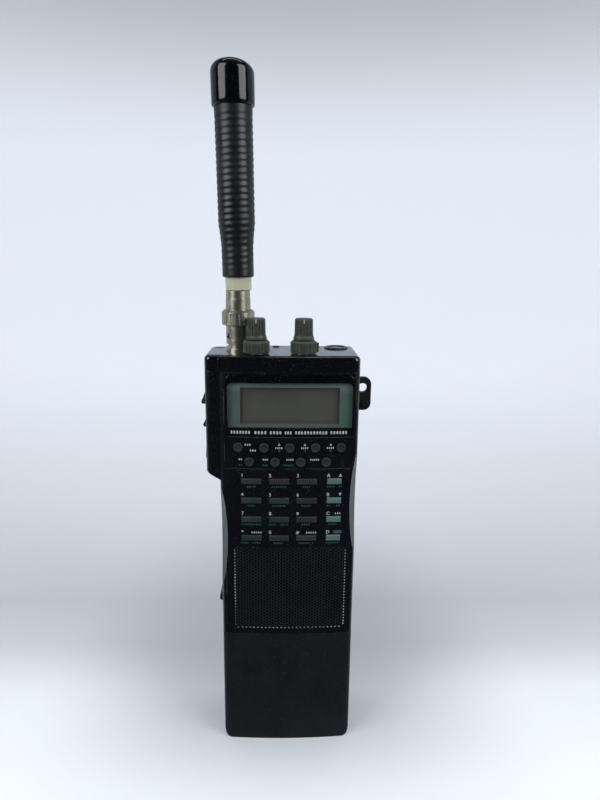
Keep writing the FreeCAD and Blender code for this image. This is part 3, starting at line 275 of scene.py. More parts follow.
def lens_finish():
    """Smoked indicator lens with a red heart."""
    low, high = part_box("led_lens")
    finish = Finish("lens", IOR=1.49)
    z = finish.split()[2]
    depth = finish.ramp(z, low.z, high.z)
    finish.feed("Base Color", finish.mix(depth, srgb(90, 16, 12), srgb(26, 10, 10)))
    finish.feed("Roughness", finish.ramp(finish.noise(700.0), 0.3, 0.7, 0.06, 0.16))
    finish.bump(finish.noise(900.0), 0.004 * MM)
    return finish


def clear_finish():
    """Clear window: glossy at grazing angles, see-through elsewhere."""
    head_on, grazing = 0.04, 0.96
    finish = Finish("clear")
    nodes = finish.tree.nodes
    nodes.remove(finish.shader)
    facing = finish.add("ShaderNodeLayerWeight", {"Blend": 0.5}).outputs["Facing"]
    share = finish.maths("MULTIPLY_ADD", finish.maths("POWER", facing, 5.0), grazing, head_on)
    through = finish.add("ShaderNodeBsdfTransparent", {"Color": (0.96, 0.97, 0.97, 1)})
    gloss = finish.add("ShaderNodeBsdfGlossy", {"Roughness": 0.04})
    both = finish.add("ShaderNodeMixShader")
    for socket, output in enumerate((share, through.outputs[0], gloss.outputs[0])):
        finish.tree.links.new(output, both.inputs[socket])
    end = next(item for item in nodes if item.type == "OUTPUT_MATERIAL")
    finish.tree.links.new(both.outputs[0], end.inputs["Surface"])
    return finish


def printed(name, ink, worn):
    """Screen-printed ink, thin in places."""
    finish = Finish(name)
    thin = finish.ramp(finish.noise(1900.0, 3.0), 0.4, 0.66)
    finish.feed("Base Color", finish.mix(thin, ink, worn))
    finish.feed("Roughness", finish.ramp(finish.noise(900.0), 0.3, 0.7, 0.45, 0.6))
    finish.bump(finish.noise(4000.0), 0.003 * MM)
    return finish


FINISHES.update({
    "mask": mask_finish(),
    "lcd": glass_finish(),
    "lens": lens_finish(),
    "clear": clear_finish(),
    "white_ink": printed("white_ink", srgb(214, 218, 220), srgb(170, 176, 178)),
    "teal_ink": printed("teal_ink", srgb(40, 108, 104), srgb(24, 78, 78)),
    # grey ink, also used for the painted highlight line down the panel's left edge
    "grey_ink_and_highlight": printed("grey_ink_and_highlight", srgb(92, 98, 98), srgb(64, 70, 70)),
    "pale_ink": printed("pale_ink", srgb(132, 138, 130), srgb(108, 114, 108)),
})

# nodes that look unlike the rest of their material slot
OWN_FINISH = {"case_screws": "black_steel", "jack_cover": "flap"}


def dress_frame():
    """Every carried-over CAD node takes the finish of its slot, or its own where it has one."""
    for name, item in NODES.items():
        slot_name = OWN_FINISH.get(name, item.data.materials[0].name.split(".")[0])
        for index in range(len(item.material_slots)):
            item.material_slots[index].link = "OBJECT"
            item.material_slots[index].material = FINISHES[slot_name].material


# ---------------------------------------------------------------- mesh code
def placed(name, data):
    """An object with that data, linked to the scene."""
    item = bpy.data.objects.new(name, data)
    bpy.context.scene.collection.objects.link(item)
    return item


def as_data(name, mesh):
    """Turn a bmesh into mesh data, and free it."""
    data = bpy.data.meshes.new(name)
    mesh.to_mesh(data)
    mesh.free()
    return data


def piece(name, mesh, body, finish, replaced=(), smooth=40.0):
    """Make a bmesh into a named piece that rides on a body; smooth is in degrees."""
    bmesh.ops.recalc_face_normals(mesh, faces=mesh.faces)
    data = as_data(name, mesh)
    item = placed(name, data)
    data.materials.append(FINISHES[finish].material)
    data.shade_smooth()
    data.set_sharp_from_angle(angle=math.radians(smooth))
    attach(item, body)
    if replaced:
        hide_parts(*replaced)


def loft(mesh, loops, close=False):
    """Skin point loops of equal length; close joins the last loop to the first."""
    rings = [[mesh.verts.new(point) for point in loop] for loop in loops]
    pairs = list(zip(rings, rings[1:]))
    if close:
        pairs.append((rings[-1], rings[0]))
    count = len(rings[0])
    for first, second in pairs:
        for step in range(count):
            nxt = (step + 1) % count
            mesh.faces.new((first[step], first[nxt], second[nxt], second[step]))
    return rings


def solid_loft(mesh, loops):
    """Skin the loops and cap both ends."""
    rings = loft(mesh, loops)
    mesh.faces.new(rings[0])
    mesh.faces.new(rings[-1])


def circle(count):
    """Equal angles once round."""
    return [2 * math.pi * step / count for step in range(count)]


def rounded_outline(x_span, z_span, radii, side_steps=24, corner_steps=8):
    """(x, z) round a rectangle from its lower left; radii start there and go with the points."""
    (x0, x1), (z0, z1) = x_span, z_span
    corners = ((x0, z0, 180), (x1, z0, 270), (x1, z1, 0), (x0, z1, 90))
    arcs = []
    for (x, z, start), radius in zip(corners, radii):
        centre = (x + radius * (1 if x == x0 else -1), z + radius * (1 if z == z0 else -1))
        arcs.append([(centre[0] + radius * math.cos(math.radians(start + 90 * step / corner_steps)),
                      centre[1] + radius * math.sin(math.radians(start + 90 * step / corner_steps)))
                     for step in range(corner_steps + 1)])
    points = []
    for index, arc in enumerate(arcs):
        points += arc
        start, end = arc[-1], arcs[(index + 1) % 4][0]
        points += [(start[0] + (end[0] - start[0]) * step / side_steps,
                    start[1] + (end[1] - start[1]) * step / side_steps)
                   for step in range(1, side_steps)]
    return points


def on_face(outline, depth):
    """An outline laid on the crowned face, that far behind it."""
    return [Vector((x, face_y(x) + depth, z)) for x, z in outline]


def crowned_panel(mesh, x_span, z_span, radii, front, back, columns=60):
    """A closed plate that follows the crowned face, with rounded corners."""
    (x0, x1), (z0, z1) = x_span, z_span

    def inset(x, radius_low_x, radius_high_x):
        for edge, radius in ((x - x0, radius_low_x), (x1 - x, radius_high_x)):
            if edge < radius:
                return radius - math.sqrt(max(radius ** 2 - (radius - edge) ** 2, 0.0))
        return 0.0

    loops = []
    for step in range(columns + 1):
        x = x0 + (x1 - x0) * (0.5 - 0.5 * math.cos(math.pi * step / columns))
        low = z0 + inset(x, radii[0], radii[1])
        high = z1 - inset(x, radii[3], radii[2])
        y = face_y(x)
        loops.append([Vector((x, y + front, low)), Vector((x, y + front, high)),
                      Vector((x, y + back, high)), Vector((x, y + back, low))])
    solid_loft(mesh, loops)


# ---------------------------------------------------------------- display
WINDOW_X, WINDOW_Z = (-28.7 * MM, 29.4 * MM), (161.85 * MM, 190.55 * MM)
WINDOW_RADII = [0.4 * MM, 0.4 * MM, 2.6 * MM, 2.6 * MM]
WINDOW_BEVEL, WINDOW_DEPTH = 0.25 * MM, 2.2 * MM
SIGHT_X, SIGHT_Z = (-28.0 * MM, 28.75 * MM), (165.85 * MM, 186.95 * MM)
SIGHT_RADII = [0.5 * MM, 0.5 * MM, 2.8 * MM, 2.8 * MM]
PANE_FRONT, PANE_BACK = 0.02 * MM, 1.2 * MM
TICK_COUNT, TICK_PITCH, TICK_HALF, TICK_SHIFT = 90, 0.56 * MM, 0.15 * MM, 0.35 * MM
TICK_Z = (166.1 * MM, 166.95 * MM)


def shrunk(span, margin):
    return (span[0] + margin, span[1] - margin)


def make_window():
    """Black printed surround and the clear pane that fills its opening."""
    bevel = WINDOW_BEVEL
    steps = ((0.0, WINDOW_DEPTH), (0.0, bevel), (0.3 * bevel, 0.3 * bevel), (bevel, 0.0))
    loops = [on_face(rounded_outline(shrunk(WINDOW_X, inset), shrunk(WINDOW_Z, inset),
                                     WINDOW_RADII), depth) for inset, depth in steps]
    loops += [on_face(rounded_outline(SIGHT_X, SIGHT_Z, SIGHT_RADII), depth)
              for depth in (0.0, WINDOW_DEPTH)]
    mesh = bmesh.new()
    loft(mesh, loops, close=True)
    piece("window_surround", mesh, "radio", "window", ("display_window",))
    mesh = bmesh.new()
    crowned_panel(mesh, SIGHT_X, SIGHT_Z, SIGHT_RADII, PANE_FRONT, PANE_BACK)
    piece("window_pane", mesh, "radio", "clear")


def make_mask_marks():
    """The fine pale scale printed under the display."""
    mesh = bmesh.new()
    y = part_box("display_bezel")[0].y
    for step in range(TICK_COUNT):
        x = (step - (TICK_COUNT - 1) / 2) * TICK_PITCH + TICK_SHIFT
        add_box(mesh, (x - TICK_HALF, x + TICK_HALF), (y - 0.04 * MM, y + 0.02 * MM), TICK_Z)
    piece("mask_scale", mesh, "radio", "pale_ink")


def add_box(mesh, x_span, y_span, z_span):
    """A small closed block inside a larger mesh."""
    solid_loft(mesh, [[Vector((x, y, z)) for x, y in ((x_span[0], y_span[0]),
                                                      (x_span[1], y_span[0]),
                                                      (x_span[1], y_span[1]),
                                                      (x_span[0], y_span[1]))]
                      for z in z_span])


# ---------------------------------------------------------------- grille
GRILLE_PITCH, GRILLE_HOLE, GRILLE_CORNER = 1.583 * MM, 0.56 * MM, 2.0 * MM
GRILLE_FRONT, GRILLE_BACK = 0.15 * MM, 0.6 * MM
CLOTH_FRONT, CLOTH_BACK = 0.68 * MM, 0.82 * MM
RIM_MARGIN = 0.2 * MM


def hexagonal_sheet(x_span, z_span):
    """Touching hexagons, each with a bevelled hole, cut off just inside the spans."""
    column_gap, corner = GRILLE_PITCH * math.sqrt(3) / 2, GRILLE_PITCH / math.sqrt(3)
    middle_x, middle_z = sum(x_span) / 2, sum(z_span) / 2
    columns = math.ceil((x_span[1] - x_span[0]) / 2 / column_gap)
    rows = math.ceil((z_span[1] - z_span[0]) / 2 / GRILLE_PITCH)
    front, edge = GRILLE_FRONT, 0.05 * MM
    profile = ((corner, front), (GRILLE_HOLE + edge, front), (GRILLE_HOLE, front + edge),
               (GRILLE_HOLE, GRILLE_BACK), (corner, GRILLE_BACK))
    mesh = bmesh.new()
    for column in range(-columns, columns + 1):
        x = middle_x + column * column_gap
        shift = GRILLE_PITCH / 2 if column % 2 else 0.0
        for row in range(-rows, rows + 1 - (column % 2)):
            z = middle_z + row * GRILLE_PITCH + shift
            loft(mesh, [on_face([(x + radius * math.cos(turn), z + radius * math.sin(turn))
                                 for turn in circle(6)], depth) for radius, depth in profile])
    bmesh.ops.remove_doubles(mesh, verts=mesh.verts, dist=0.005 * MM)
    for place, normal in (((x_span[0], 0, 0), (-1, 0, 0)), ((x_span[1], 0, 0), (1, 0, 0)),
                          ((0, 0, z_span[0]), (0, 0, -1)), ((0, 0, z_span[1]), (0, 0, 1))):
        bmesh.ops.bisect_plane(mesh, geom=mesh.verts[:] + mesh.edges[:] + mesh.faces[:],
                               plane_co=Vector(place) - Vector(normal) * RIM_MARGIN,
                               plane_no=normal, clear_outer=True)
    return mesh


def add_grille_rim(mesh, x_span, z_span):
    """The sheet's edge, folded back all round."""
    front, back = GRILLE_FRONT, GRILLE_BACK
    rim = [(0.0, back), (0.0, front + 0.1 * MM), (0.1 * MM, front), (0.3 * MM, front),
           (0.4 * MM, front + 0.08 * MM), (0.4 * MM, back)]
    loft(mesh, [on_face(rounded_outline(shrunk(x_span, inset), shrunk(z_span, inset),
                                        [GRILLE_CORNER - inset] * 4, 40, 6), depth - 0.01 * MM)
                for inset, depth in rim], close=True)


def make_grille():
    """Perforated sheet with its rim, the cloth behind it and the bright points."""
    low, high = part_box("speaker_grille")
    x_span, z_span = (low.x, high.x), (low.z, high.z)
    mesh = hexagonal_sheet(x_span, z_span)
    add_grille_rim(mesh, x_span, z_span)
    piece("grille_sheet", mesh, "radio", "grille", ("speaker_grille",), smooth=30.0)
    mesh = bmesh.new()
    crowned_panel(mesh, shrunk(x_span, RIM_MARGIN), shrunk(z_span, RIM_MARGIN),
                  [GRILLE_CORNER] * 4, CLOTH_FRONT, CLOTH_BACK)
    piece("grille_cloth", mesh, "radio", "speaker")
    make_grille_beads(x_span, z_span)


def make_grille_beads(x_span, z_span):
    """Bright points where the sheet is folded over: left, right and foot."""
    inset, corner, foot_pitch = 0.15 * MM, 1.6 * MM, 1.9 * MM
    profile = ((0.32 * MM, -0.06 * MM), (0.32 * MM, 0.1 * MM), (0.23 * MM, 0.17 * MM),
               (0.09 * MM, 0.2 * MM))
    uprights = int((z_span[1] - z_span[0] - 2 * corner) / GRILLE_PITCH)
    places = [(x, z_span[0] + corner + step * GRILLE_PITCH)
              for x in (x_span[0] + inset, x_span[1] - inset) for step in range(uprights + 1)]
    across = int((x_span[1] - x_span[0] - 2 * corner) / foot_pitch)
    places += [(x_span[0] + corner + step * foot_pitch, z_span[0] + inset)
               for step in range(across + 1)]
    mesh = bmesh.new()
    for x, z in places:
        solid_loft(mesh, [[Vector((x + radius * math.cos(turn),
                                   face_y(x) + GRILLE_FRONT - rise,
                                   z + radius * math.sin(turn))) for turn in circle(8)]
                          for radius, rise in profile])
    piece("grille_beads", mesh, "radio", "bead", smooth=70.0)


# ---------------------------------------------------------------- antenna
ANTENNA_FOOT = Vector((-23.35 * MM, 0, 226.5 * MM))
LEAN = math.radians(-1.05)
# heights and radii along the antenna's own axis, in millimetres
COIL_PITCH, RIB_SHALLOW, RIB_MORE = 2.68, 0.08, 0.1
RIB_FADE_IN, RIB_FADE_OUT, RIB_FADE, RIB_DEEPEN = 8.0, 76.0, 3.0, (20.0, 30.0)
SHEATH_SKIN = 0.02
SHEATH_FOOT, SHEATH_TOP = 6.1, 77.5
SHEATH_STATIONS = ((SHEATH_FOOT, 6.75), (6.5, 7.15), (19.5, 7.2), (24.0, 7.6), (29.5, 8.25),
                   (SHEATH_TOP, 8.3))
TIP_RADIUS, TIP_TOP = 9.35, 95.75


def antenna_ring(radius, z, around=96):
    """A loop about the leaning axis; radius and z are millimetres or functions of the angle."""
    turn = Matrix.Rotation(LEAN, 3, "Y")
    ring = []
    for angle in circle(around):
        reach = radius(angle) if callable(radius) else radius
        height = z(angle) if callable(z) else z
        ring.append(ANTENNA_FOOT + turn @ Vector((reach * math.cos(angle),
                                                  reach * math.sin(angle), height)) * MM)
    return ring


def sheath_radius(z):
    """Radius of the bare sleeve at a height, straight between its stations."""
    for (low, first), (high, second) in zip(SHEATH_STATIONS, SHEATH_STATIONS[1:]):
        if z <= high:
            return first + (second - first) * (z - low) / (high - low)
    return SHEATH_STATIONS[-1][1]


def limited(value):
    """The value, held between 0 and 1."""
    return min(max(value, 0.0), 1.0)


def ribbed(z):
    """Radius of the sleeve round its axis at a height: shallow dips between the coil's turns."""
    fade = limited((z - RIB_FADE_IN) / RIB_FADE) * limited((RIB_FADE_OUT - z) / RIB_FADE)
    start, end = RIB_DEEPEN
    depth = (RIB_SHALLOW + RIB_MORE * limited((z - start) / (end - start))) * fade

    def radius(angle):
        phase = 2 * math.pi * z / COIL_PITCH - angle
        return sheath_radius(z) - SHEATH_SKIN - depth * (0.5 - 0.5 * math.cos(phase))
    return radius


def make_sheath():
    """Shrunk rubber sleeve whose coil shows through as one long helical rib."""
    step, start, inner_foot, inner_top = 0.22, 6.5, 5.0, 6.3
    heights = [SHEATH_FOOT, 6.2, 6.35]
    heights += [start + step * index for index in range(int((SHEATH_TOP - start) / step) + 1)]
    loops = [antenna_ring(inner_foot, SHEATH_FOOT)]
    loops += [antenna_ring(ribbed(z), z) for z in heights]
    loops.append(antenna_ring(inner_top, SHEATH_TOP + 0.4))
    mesh = bmesh.new()
    solid_loft(mesh, loops)
    piece("sheath_ribbed", mesh, "antenna", "sheath", ("antenna_sheath",), smooth=60.0)


def make_tip():
    """Dipped glossy cap: a squarish dome that sags a little towards the right."""
    shoulder, foot_bevel, crown, sag, sag_depth = 4.6, 0.5, 0.4, 1.5, 8.0
    profile = [(6.4, SHEATH_TOP + 0.8), (6.4, SHEATH_TOP), (TIP_RADIUS - 0.6, SHEATH_TOP),
               (TIP_RADIUS - 0.25, SHEATH_TOP + 0.2), (TIP_RADIUS - 0.1, SHEATH_TOP + foot_bevel),
               (TIP_RADIUS - 0.05, SHEATH_TOP + 3.0), (TIP_RADIUS, SHEATH_TOP + 6.0)]
    for step in range(13):
        angle = math.radians(7.5 * step)
        profile.append((TIP_RADIUS - shoulder * (1 - math.cos(angle)),
                        TIP_TOP - crown - shoulder * (1 - math.sin(angle))))
    flat = profile[-1][0]
    profile += [(flat * share, TIP_TOP - crown * share ** 2) for share in (0.8, 0.55, 0.3, 0.05)]

    def sagging(radius, z):
        near_top = limited((z - (TIP_TOP - sag_depth)) / sag_depth)
        return lambda angle: z - sag * near_top * limited(
            (radius * math.cos(angle) / TIP_RADIUS + 0.1) / 1.1) ** 1.6

    mesh = bmesh.new()
    solid_loft(mesh, [antenna_ring(radius, sagging(radius, z)) for radius, z in profile])
    piece("tip_dipped", mesh, "antenna", "tip", ("antenna_tip",), smooth=50.0)


# ---------------------------------------------------------------- knobs
MARK_REACH, MARK_DEPTH, MARK_HALF = 3.95 * MM, 1.0 * MM, 0.22 * MM
MARK_FOOT, MARK_HEAD = 2.0 * MM, 0.35 * MM


def make_knob_marks():
    """The pale index line at the head of each inner knob, placed from its axis and top."""
    for side in ("left", "right"):
        low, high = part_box(f"{side}_knob_inner")
        x, front = (low.x + high.x) / 2, (low.y + high.y) / 2 - MARK_REACH
        mesh = bmesh.new()
        add_box(mesh, (x - MARK_HALF, x + MARK_HALF), (front, front + MARK_DEPTH),
                (high.z - MARK_FOOT, high.z - MARK_HEAD))
        piece(f"{side}_knob_mark", mesh, f"{side}_knob_inner", "ivory")


# ---------------------------------------------------------------- legends
# how far printing stands out of the face, and how far it goes into it
LIFT, SINK = 0.03 * MM, 0.02 * MM


def add_glyphs(mesh, text, x, z, height):
    """Characters of the built-in face, laid on the crowned front from their left foot."""
    curve = bpy.data.curves.new("glyphs", "FONT")
    curve.body, curve.size, curve.resolution_u = text, height / 0.7, 3
    curve.offset = 0.03 * height
    holder = placed("glyphs", curve)
    flat = bpy.data.meshes.new_from_object(
        holder.evaluated_get(bpy.context.evaluated_depsgraph_get()))
    bpy.data.objects.remove(holder)
    bpy.data.curves.remove(curve)
    for vertex in flat.vertices:
        place_x, place_z = x + vertex.co.x, z + vertex.co.y
        vertex.co = (place_x, face_y(place_x) - LIFT, place_z)
    add_solid(mesh, flat)


def add_solid(mesh, flat):
    """Give a flat sheet on the front face its thickness and add it to a mesh."""
    sheet = bmesh.new()
    sheet.from_mesh(flat)
    bpy.data.meshes.remove(flat)
    bmesh.ops.remove_doubles(sheet, verts=sheet.verts, dist=0.001 * MM)
    made = bmesh.ops.extrude_face_region(sheet, geom=sheet.faces[:])["geom"]
    for vertex in (item for item in made if isinstance(item, bmesh.types.BMVert)):
        vertex.co.y += LIFT + SINK
    bmesh.ops.recalc_face_normals(sheet, faces=sheet.faces)
    whole = as_data("whole", sheet)
    mesh.from_mesh(whole)
    bpy.data.meshes.remove(whole)


def add_bar(mesh, x, z, width, height):
    """A plain short bar on the front face from its left foot."""
    crowned_panel(mesh, (x, x + width), (z, z + height), [height * 0.25] * 4, -LIFT, SINK,
                  columns=8)


def add_triangle(mesh, x, z, size, up=True):
    """An arrow head centred on a place of the front face."""
    flip = 1 if up else -1
    corners = ((-0.5, -0.45), (0.5, -0.45), (0.0, 0.5))
    flat = bmesh.new()
    flat.faces.new([flat.verts.new((x + size * a, face_y(x + size * a) - LIFT, z + flip * size * b))
                    for a, b in corners])
    add_solid(mesh, as_data("triangle", flat))


# the character over each key, and the words under it as (start, length) in millimetres
KEY_CHARACTERS = (("1", "2", "3", "A"), ("4", "5", "6", "B"), ("7", "8", "9", "C"),
                  ("*", "0", "#", "D"))
KEY_WORDS = ((((2.6, 4.4),), ((1.2, 7.0),), ((2.8, 3.6),), ((0.0, 3.8), (5.6, 1.7))),
             (((2.9, 3.6),), ((1.4, 6.6),), ((2.2, 4.9),), ((0.0, 2.2), (4.4, 2.2))),
             (((-0.3, 9.9),), ((0.0, 3.4), (5.2, 4.2)), ((2.4, 4.2),), ((0.9, 4.4),)),
             (((-0.2, 3.6), (5.0, 4.0)), ((2.2, 4.6),), ((1.2, 5.4), (7.6, 0.9)),
              ((-0.2, 6.6),)))
CHARACTER_HEIGHT, CHARACTER_RISE, CHARACTER_X = 1.6 * MM, 2.15 * MM, 0.5 * MM
WORD_DROP, WORD_X = 3.05 * MM, 0.6 * MM
# short words right of a character: key, start, rise and length in millimetres
SIDE_WORDS = (("key_3_4", 4.6, 2.4, 3.0), ("key_4_1", 5.2, 2.3, 5.2), ("key_4_3", 5.2, 2.3, 5.2))
# the arrows right of a character: key, and whether it points up
SIDE_ARROWS = (("key_1_4", True), ("key_2_4", False))
HEADER_Z, HEADER_HEIGHT, HEADER_LETTER = 163.3 * MM, 1.5 * MM, 1.36
HEADER_WORDS = ((-26.5, 9.3), (-15.7, 6.0), (-8.7, 5.8), (-1.9, 3.5), (2.8, 15.1), (18.9, 8.1))
# two printed lines across the panel, and a painted highlight line down its left edge in three runs
LINE_X, LINE_LENGTH, LINE_WIDTH = -28.4 * MM, 57.4 * MM, 0.12 * MM
LINE_HEIGHTS = (161.78, 146.72)
# the painted highlight line along the panel's left edge
HIGHLIGHT_LINE_X, HIGHLIGHT_LINE_WIDTH = -29.6 * MM, 0.14 * MM
HIGHLIGHT_LINE_RUNS = ((62.5, 146.4), (147.0, 161.5), (162.1, 189.5))


def add_words(mesh, x, z, spans, height=0.85 * MM, letter=0.95):
    """Rows of letter-wide dashes; spans are (start, length) of the words in millimetres."""
    for start, width in spans:
        dashes = max(1, round(width / letter))
        pitch = width / dashes
        for step in range(dashes):
            add_bar(mesh, x + (start + step * pitch) * MM, z, 0.6 * pitch * MM, height)


def make_legends():
    """Digits, arrows and plain bars where the panel has printing, and a painted highlight line down
    its left edge.
    """
    white, teal, grey = bmesh.new(), bmesh.new(), bmesh.new()
    make_key_legends(white, teal, grey)
    make_button_legends(white, teal)
    add_words(white, 0.0, HEADER_Z, HEADER_WORDS, HEADER_HEIGHT, HEADER_LETTER)
    for z in LINE_HEIGHTS:
        add_bar(grey, LINE_X, z * MM, LINE_LENGTH, LINE_WIDTH)
    # painted highlight: a grey line down the panel's left edge
    for start, stop in HIGHLIGHT_LINE_RUNS:
        add_bar(grey, HIGHLIGHT_LINE_X, start * MM, HIGHLIGHT_LINE_WIDTH, (stop - start) * MM)
    piece("legend_white", white, "radio", "white_ink")
    piece("legend_teal", teal, "radio", "teal_ink")
    # the grey pieces carry the painted highlight line as well as print
    piece("legend_grey_and_highlight", grey, "radio", "grey_ink_and_highlight")


def make_key_legends(white, teal, grey):
    """Characters over the keys, words under them, and what stands right of the characters."""
    for row, (characters, words) in enumerate(zip(KEY_CHARACTERS, KEY_WORDS), start=1):
        for column, (character, spans) in enumerate(zip(characters, words), start=1):
            x, _, middle = corner_and_middle(f"key_{row}_{column}")
            add_glyphs(white, character, x + CHARACTER_X, middle + CHARACTER_RISE,
                       CHARACTER_HEIGHT)
            add_words(teal, x + WORD_X, middle - WORD_DROP, spans)
    for key, up in SIDE_ARROWS:
        _, right, middle = corner_and_middle(key)
        add_triangle(white, right - 1.1 * MM, middle + 2.9 * MM, 1.5 * MM, up)
    for key, start, rise, length in SIDE_WORDS:
        x, _, middle = corner_and_middle(key)
        add_words(white, x + start * MM, middle + rise * MM, ((0.0, length),))
    x, _, middle = corner_and_middle("key_4_4")
    add_bar(grey, x + 3.9 * MM, middle + 2.1 * MM, 4.2 * MM, 1.6 * MM)


def corner_and_middle(node):
    """The left, the right and the middle height of a CAD node."""
    low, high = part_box(node)
    return low.x, high.x, (low.z + high.z) / 2


def make_button_legends(white, teal):
    """Words and arrows beside the round buttons."""
    _, right, middle = corner_and_middle("button_1_1")
    add_words(white, right, middle + 0.9 * MM, ((0.2, 3.2),))
    left, _, middle = corner_and_middle("button_1_2")
    add_words(white, left - 3.6 * MM, middle - 1.8 * MM, ((0.0, 3.2),))
    for column in (3, 4, 5):
        left, _, middle = corner_and_middle(f"button_1_{column}")
        centre = left - 2.0 * MM
        add_words(white, centre - 1.8 * MM, middle - 0.5 * MM, ((0.0, 3.6),))
        add_triangle(white, centre, middle + 1.6 * MM, 1.1 * MM)
        add_triangle(teal, centre, middle - 1.6 * MM, 1.0 * MM, up=False)
    # the length of each upper word, and how much longer the lower one is, if there is one
    for column, (width, longer) in enumerate(((1.9, 0.0), (2.6, 0.0), (3.6, 1.4), (4.4, None)),
                                             start=1):
        left, _, middle = corner_and_middle(f"button_2_{column}")
        start = left - (width + 0.2) * MM
        add_words(white, start, middle + 0.8 * MM, ((0.0, width),))
        if longer is not None:
            add_words(teal, start - longer * MM, middle - 1.9 * MM, ((0.0, width + longer),))


# ---------------------------------------------------------------- studio
LAMP_TINT, PLAIN = (0.93, 0.97, 1.0), (1, 1, 1)
CENTRE = (0, 0, 0.16)
# name, place, target, size, power, colour, and whether it shows in reflections
LAMPS = (("lamp_left", (-0.6, -0.42, 0.55), CENTRE, (0.5, 0.7), 4.3, LAMP_TINT, True),
         ("lamp_right", (0.6, -0.4, 0.55), CENTRE, (0.5, 0.7), 4.2, LAMP_TINT, True),
         ("lamp_top", (0, 0.0, 1.15), (0, 0.0, 0), (0.9, 0.9), 4.6, PLAIN, False),
         ("lamp_back", (0, 0.2, 1.2), (0, 1.0, 0.35), (0.9, 0.3), 2.0, PLAIN, True))
# (place, brightness) of the paper, from just in front of the object to far behind it; the dip just
# behind the object is painted shade
PAPER_STOPS = ((0.05, 0.93), (0.12, 0.83), (0.16, 0.64), (0.21, 0.57), (0.4, 0.74), (0.6, 0.88),
               (0.84, 1.0))
# the paper's colour, and the strength of the glow painted on it for camera rays, though it is no
# lamp
PAPER_TINT, PAPER_GLOW = (0.745, 0.775, 0.828, 1), 0.36
# the paper as reflections and bounced light meet it, in front of the object and behind it
UNSEEN_FRONT, UNSEEN_BEHIND = (0.05, 0.056, 0.07, 1), (0.66, 0.71, 0.77, 1)
FLOOR_RADIUS, SWEEP_BEND, SWEEP_TOP = 0.62, 0.45, 1.5
SKY, SKY_STRENGTH = (0.82, 0.88, 1.0, 1), 0.07
LENS, SENSOR_WIDTH, NEAR_CLIP = 27.04, 36.0, 0.01
CAMERA_PLACE = (5.30, -279.85, 241.31)
CAMERA_YAW, CAMERA_PITCH, CAMERA_ROLL = -1.611, 13.294, 0.67


def area_light(name, place, target, size, power, colour, reflected):
    lamp = bpy.data.lights.new(name, "AREA")
    lamp.shape, (lamp.size, lamp.size_y) = "RECTANGLE", size
    lamp.energy, lamp.color = power, colour
    item = placed(name, lamp)
    item.location = place
    item.rotation_euler = (Vector(target) - Vector(place)).to_track_quat("-Z", "Y").to_euler()
    item.visible_glossy = reflected


def paper_finish():
    """Pale paper that glows for the camera, with painted shade behind the object and high up, a
    painted shadow beside it, and quiet in reflections.
    """
    paper = Finish("paper", Roughness=0.9, Specular_IOR_Level=0.1)
    x, y, z = paper.split()[0:3]
    # painted shade along the paper's depth, after PAPER_STOPS
    depth = paper.add("ShaderNodeValToRGB", {"Fac": paper.ramp(y, -0.1, 0.9, curve="LINEAR")})
    marks = depth.color_ramp.elements
    for index, (place, level) in enumerate(PAPER_STOPS):
        stop = marks[index] if index < 2 else marks.new(place)
        stop.position, stop.color = place, (level, level, level, 1)
    # painted shade: the wall darker higher up
    height = paper.ramp(z, 0.42, 0.8, 1.0, 0.58)
    # painted shadow: darker beside the object, and less so in front of it
    painted_shadow = paper.maths("MULTIPLY", paper.ramp(paper.maths("ABSOLUTE", x), 0.03, 0.15, 0.32, 0.0),
                       paper.ramp(y, 0.3, 0.05))
    painted_shadow = paper.maths("MULTIPLY", painted_shadow, paper.ramp(y, -0.06, 0.0, 0.2, 1.0))
    light = paper.maths("MULTIPLY", depth.outputs["Color"], height)
    light = paper.maths("MULTIPLY", light, paper.maths("SUBTRACT", 1.0, painted_shadow))
    seen = paper.add("ShaderNodeLightPath").outputs["Is Camera Ray"]
    tint = paper.mix(light, (0.0, 0.0, 0.0, 1), PAPER_TINT)
    unseen = paper.mix(paper.ramp(y, -0.06, 0.07), UNSEEN_FRONT, UNSEEN_BEHIND)
    paper.feed("Base Color", paper.mix(seen, unseen, tint))
    paper.feed("Emission Color", tint)
    # painted glow: the paper emits its colour to camera rays
    paper.feed("Emission Strength", paper.maths("MULTIPLY", seen, PAPER_GLOW))
    return paper


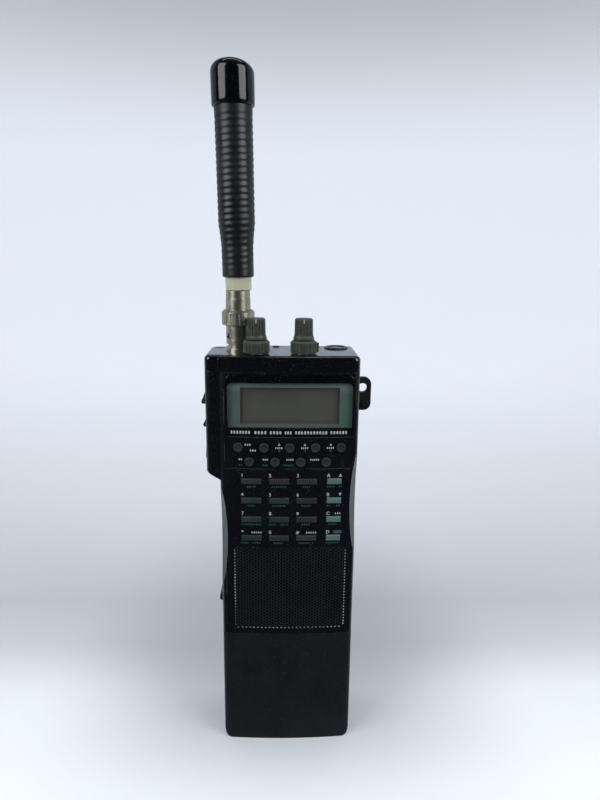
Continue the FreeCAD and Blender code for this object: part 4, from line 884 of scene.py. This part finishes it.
def make_sweep():
    """A round pale floor that curves up into a wall."""
    profile = [(0.0005, 0.0), (0.15, 0.0), (0.35, 0.0), (FLOOR_RADIUS, 0.0)]
    profile += [(FLOOR_RADIUS + SWEEP_BEND * math.sin(a), SWEEP_BEND - SWEEP_BEND * math.cos(a))
                for a in (math.radians(9 * step) for step in range(1, 11))]
    profile.append((FLOOR_RADIUS + SWEEP_BEND, SWEEP_TOP))
    mesh = bmesh.new()
    rings = loft(mesh, [[Vector((r * math.cos(a), r * math.sin(a), z)) for a in circle(128)]
                        for r, z in profile])
    mesh.faces.new(rings[0])
    data = as_data("sweep", mesh)
    data.shade_smooth()
    data.materials.append(paper_finish().material)
    placed("sweep", data)


def make_light():
    """A dim even sky and the soft lamps."""
    world = bpy.data.worlds.new("studio")
    bpy.context.scene.world = world
    world.use_nodes = True
    colour, strength = world.node_tree.nodes["Background"].inputs[:2]
    colour.default_value, strength.default_value = SKY, SKY_STRENGTH
    for lamp in LAMPS:
        area_light(*lamp)


def make_camera():
    """The viewpoint: a little above, nearly square on."""
    lens = bpy.data.cameras.new("viewpoint")
    lens.lens, lens.sensor_width, lens.clip_start = LENS, SENSOR_WIDTH, NEAR_CLIP
    camera = placed("viewpoint", lens)
    yaw, pitch, roll = map(math.radians, (CAMERA_YAW, CAMERA_PITCH, CAMERA_ROLL))
    turn = Matrix.Rotation(yaw, 3, "Z")
    ahead = turn @ Vector((0, math.cos(pitch), -math.sin(pitch)))
    level = turn @ Vector((1, 0, 0))
    upright = level.cross(ahead)
    right = math.cos(roll) * level + math.sin(roll) * upright
    up = math.cos(roll) * upright - math.sin(roll) * level
    basis = Matrix((right, up, -ahead)).transposed()
    place = turn @ Vector(CAMERA_PLACE) * MM
    camera.matrix_world = Matrix.Translation(place) @ basis.to_4x4()
    bpy.context.scene.camera = camera


dress_frame()
make_window()
make_mask_marks()
make_grille()
make_sheath()
make_tip()
make_knob_marks()
make_legends()
make_sweep()
make_light()
make_camera()
bpy.context.scene.view_settings.view_transform = "Standard"
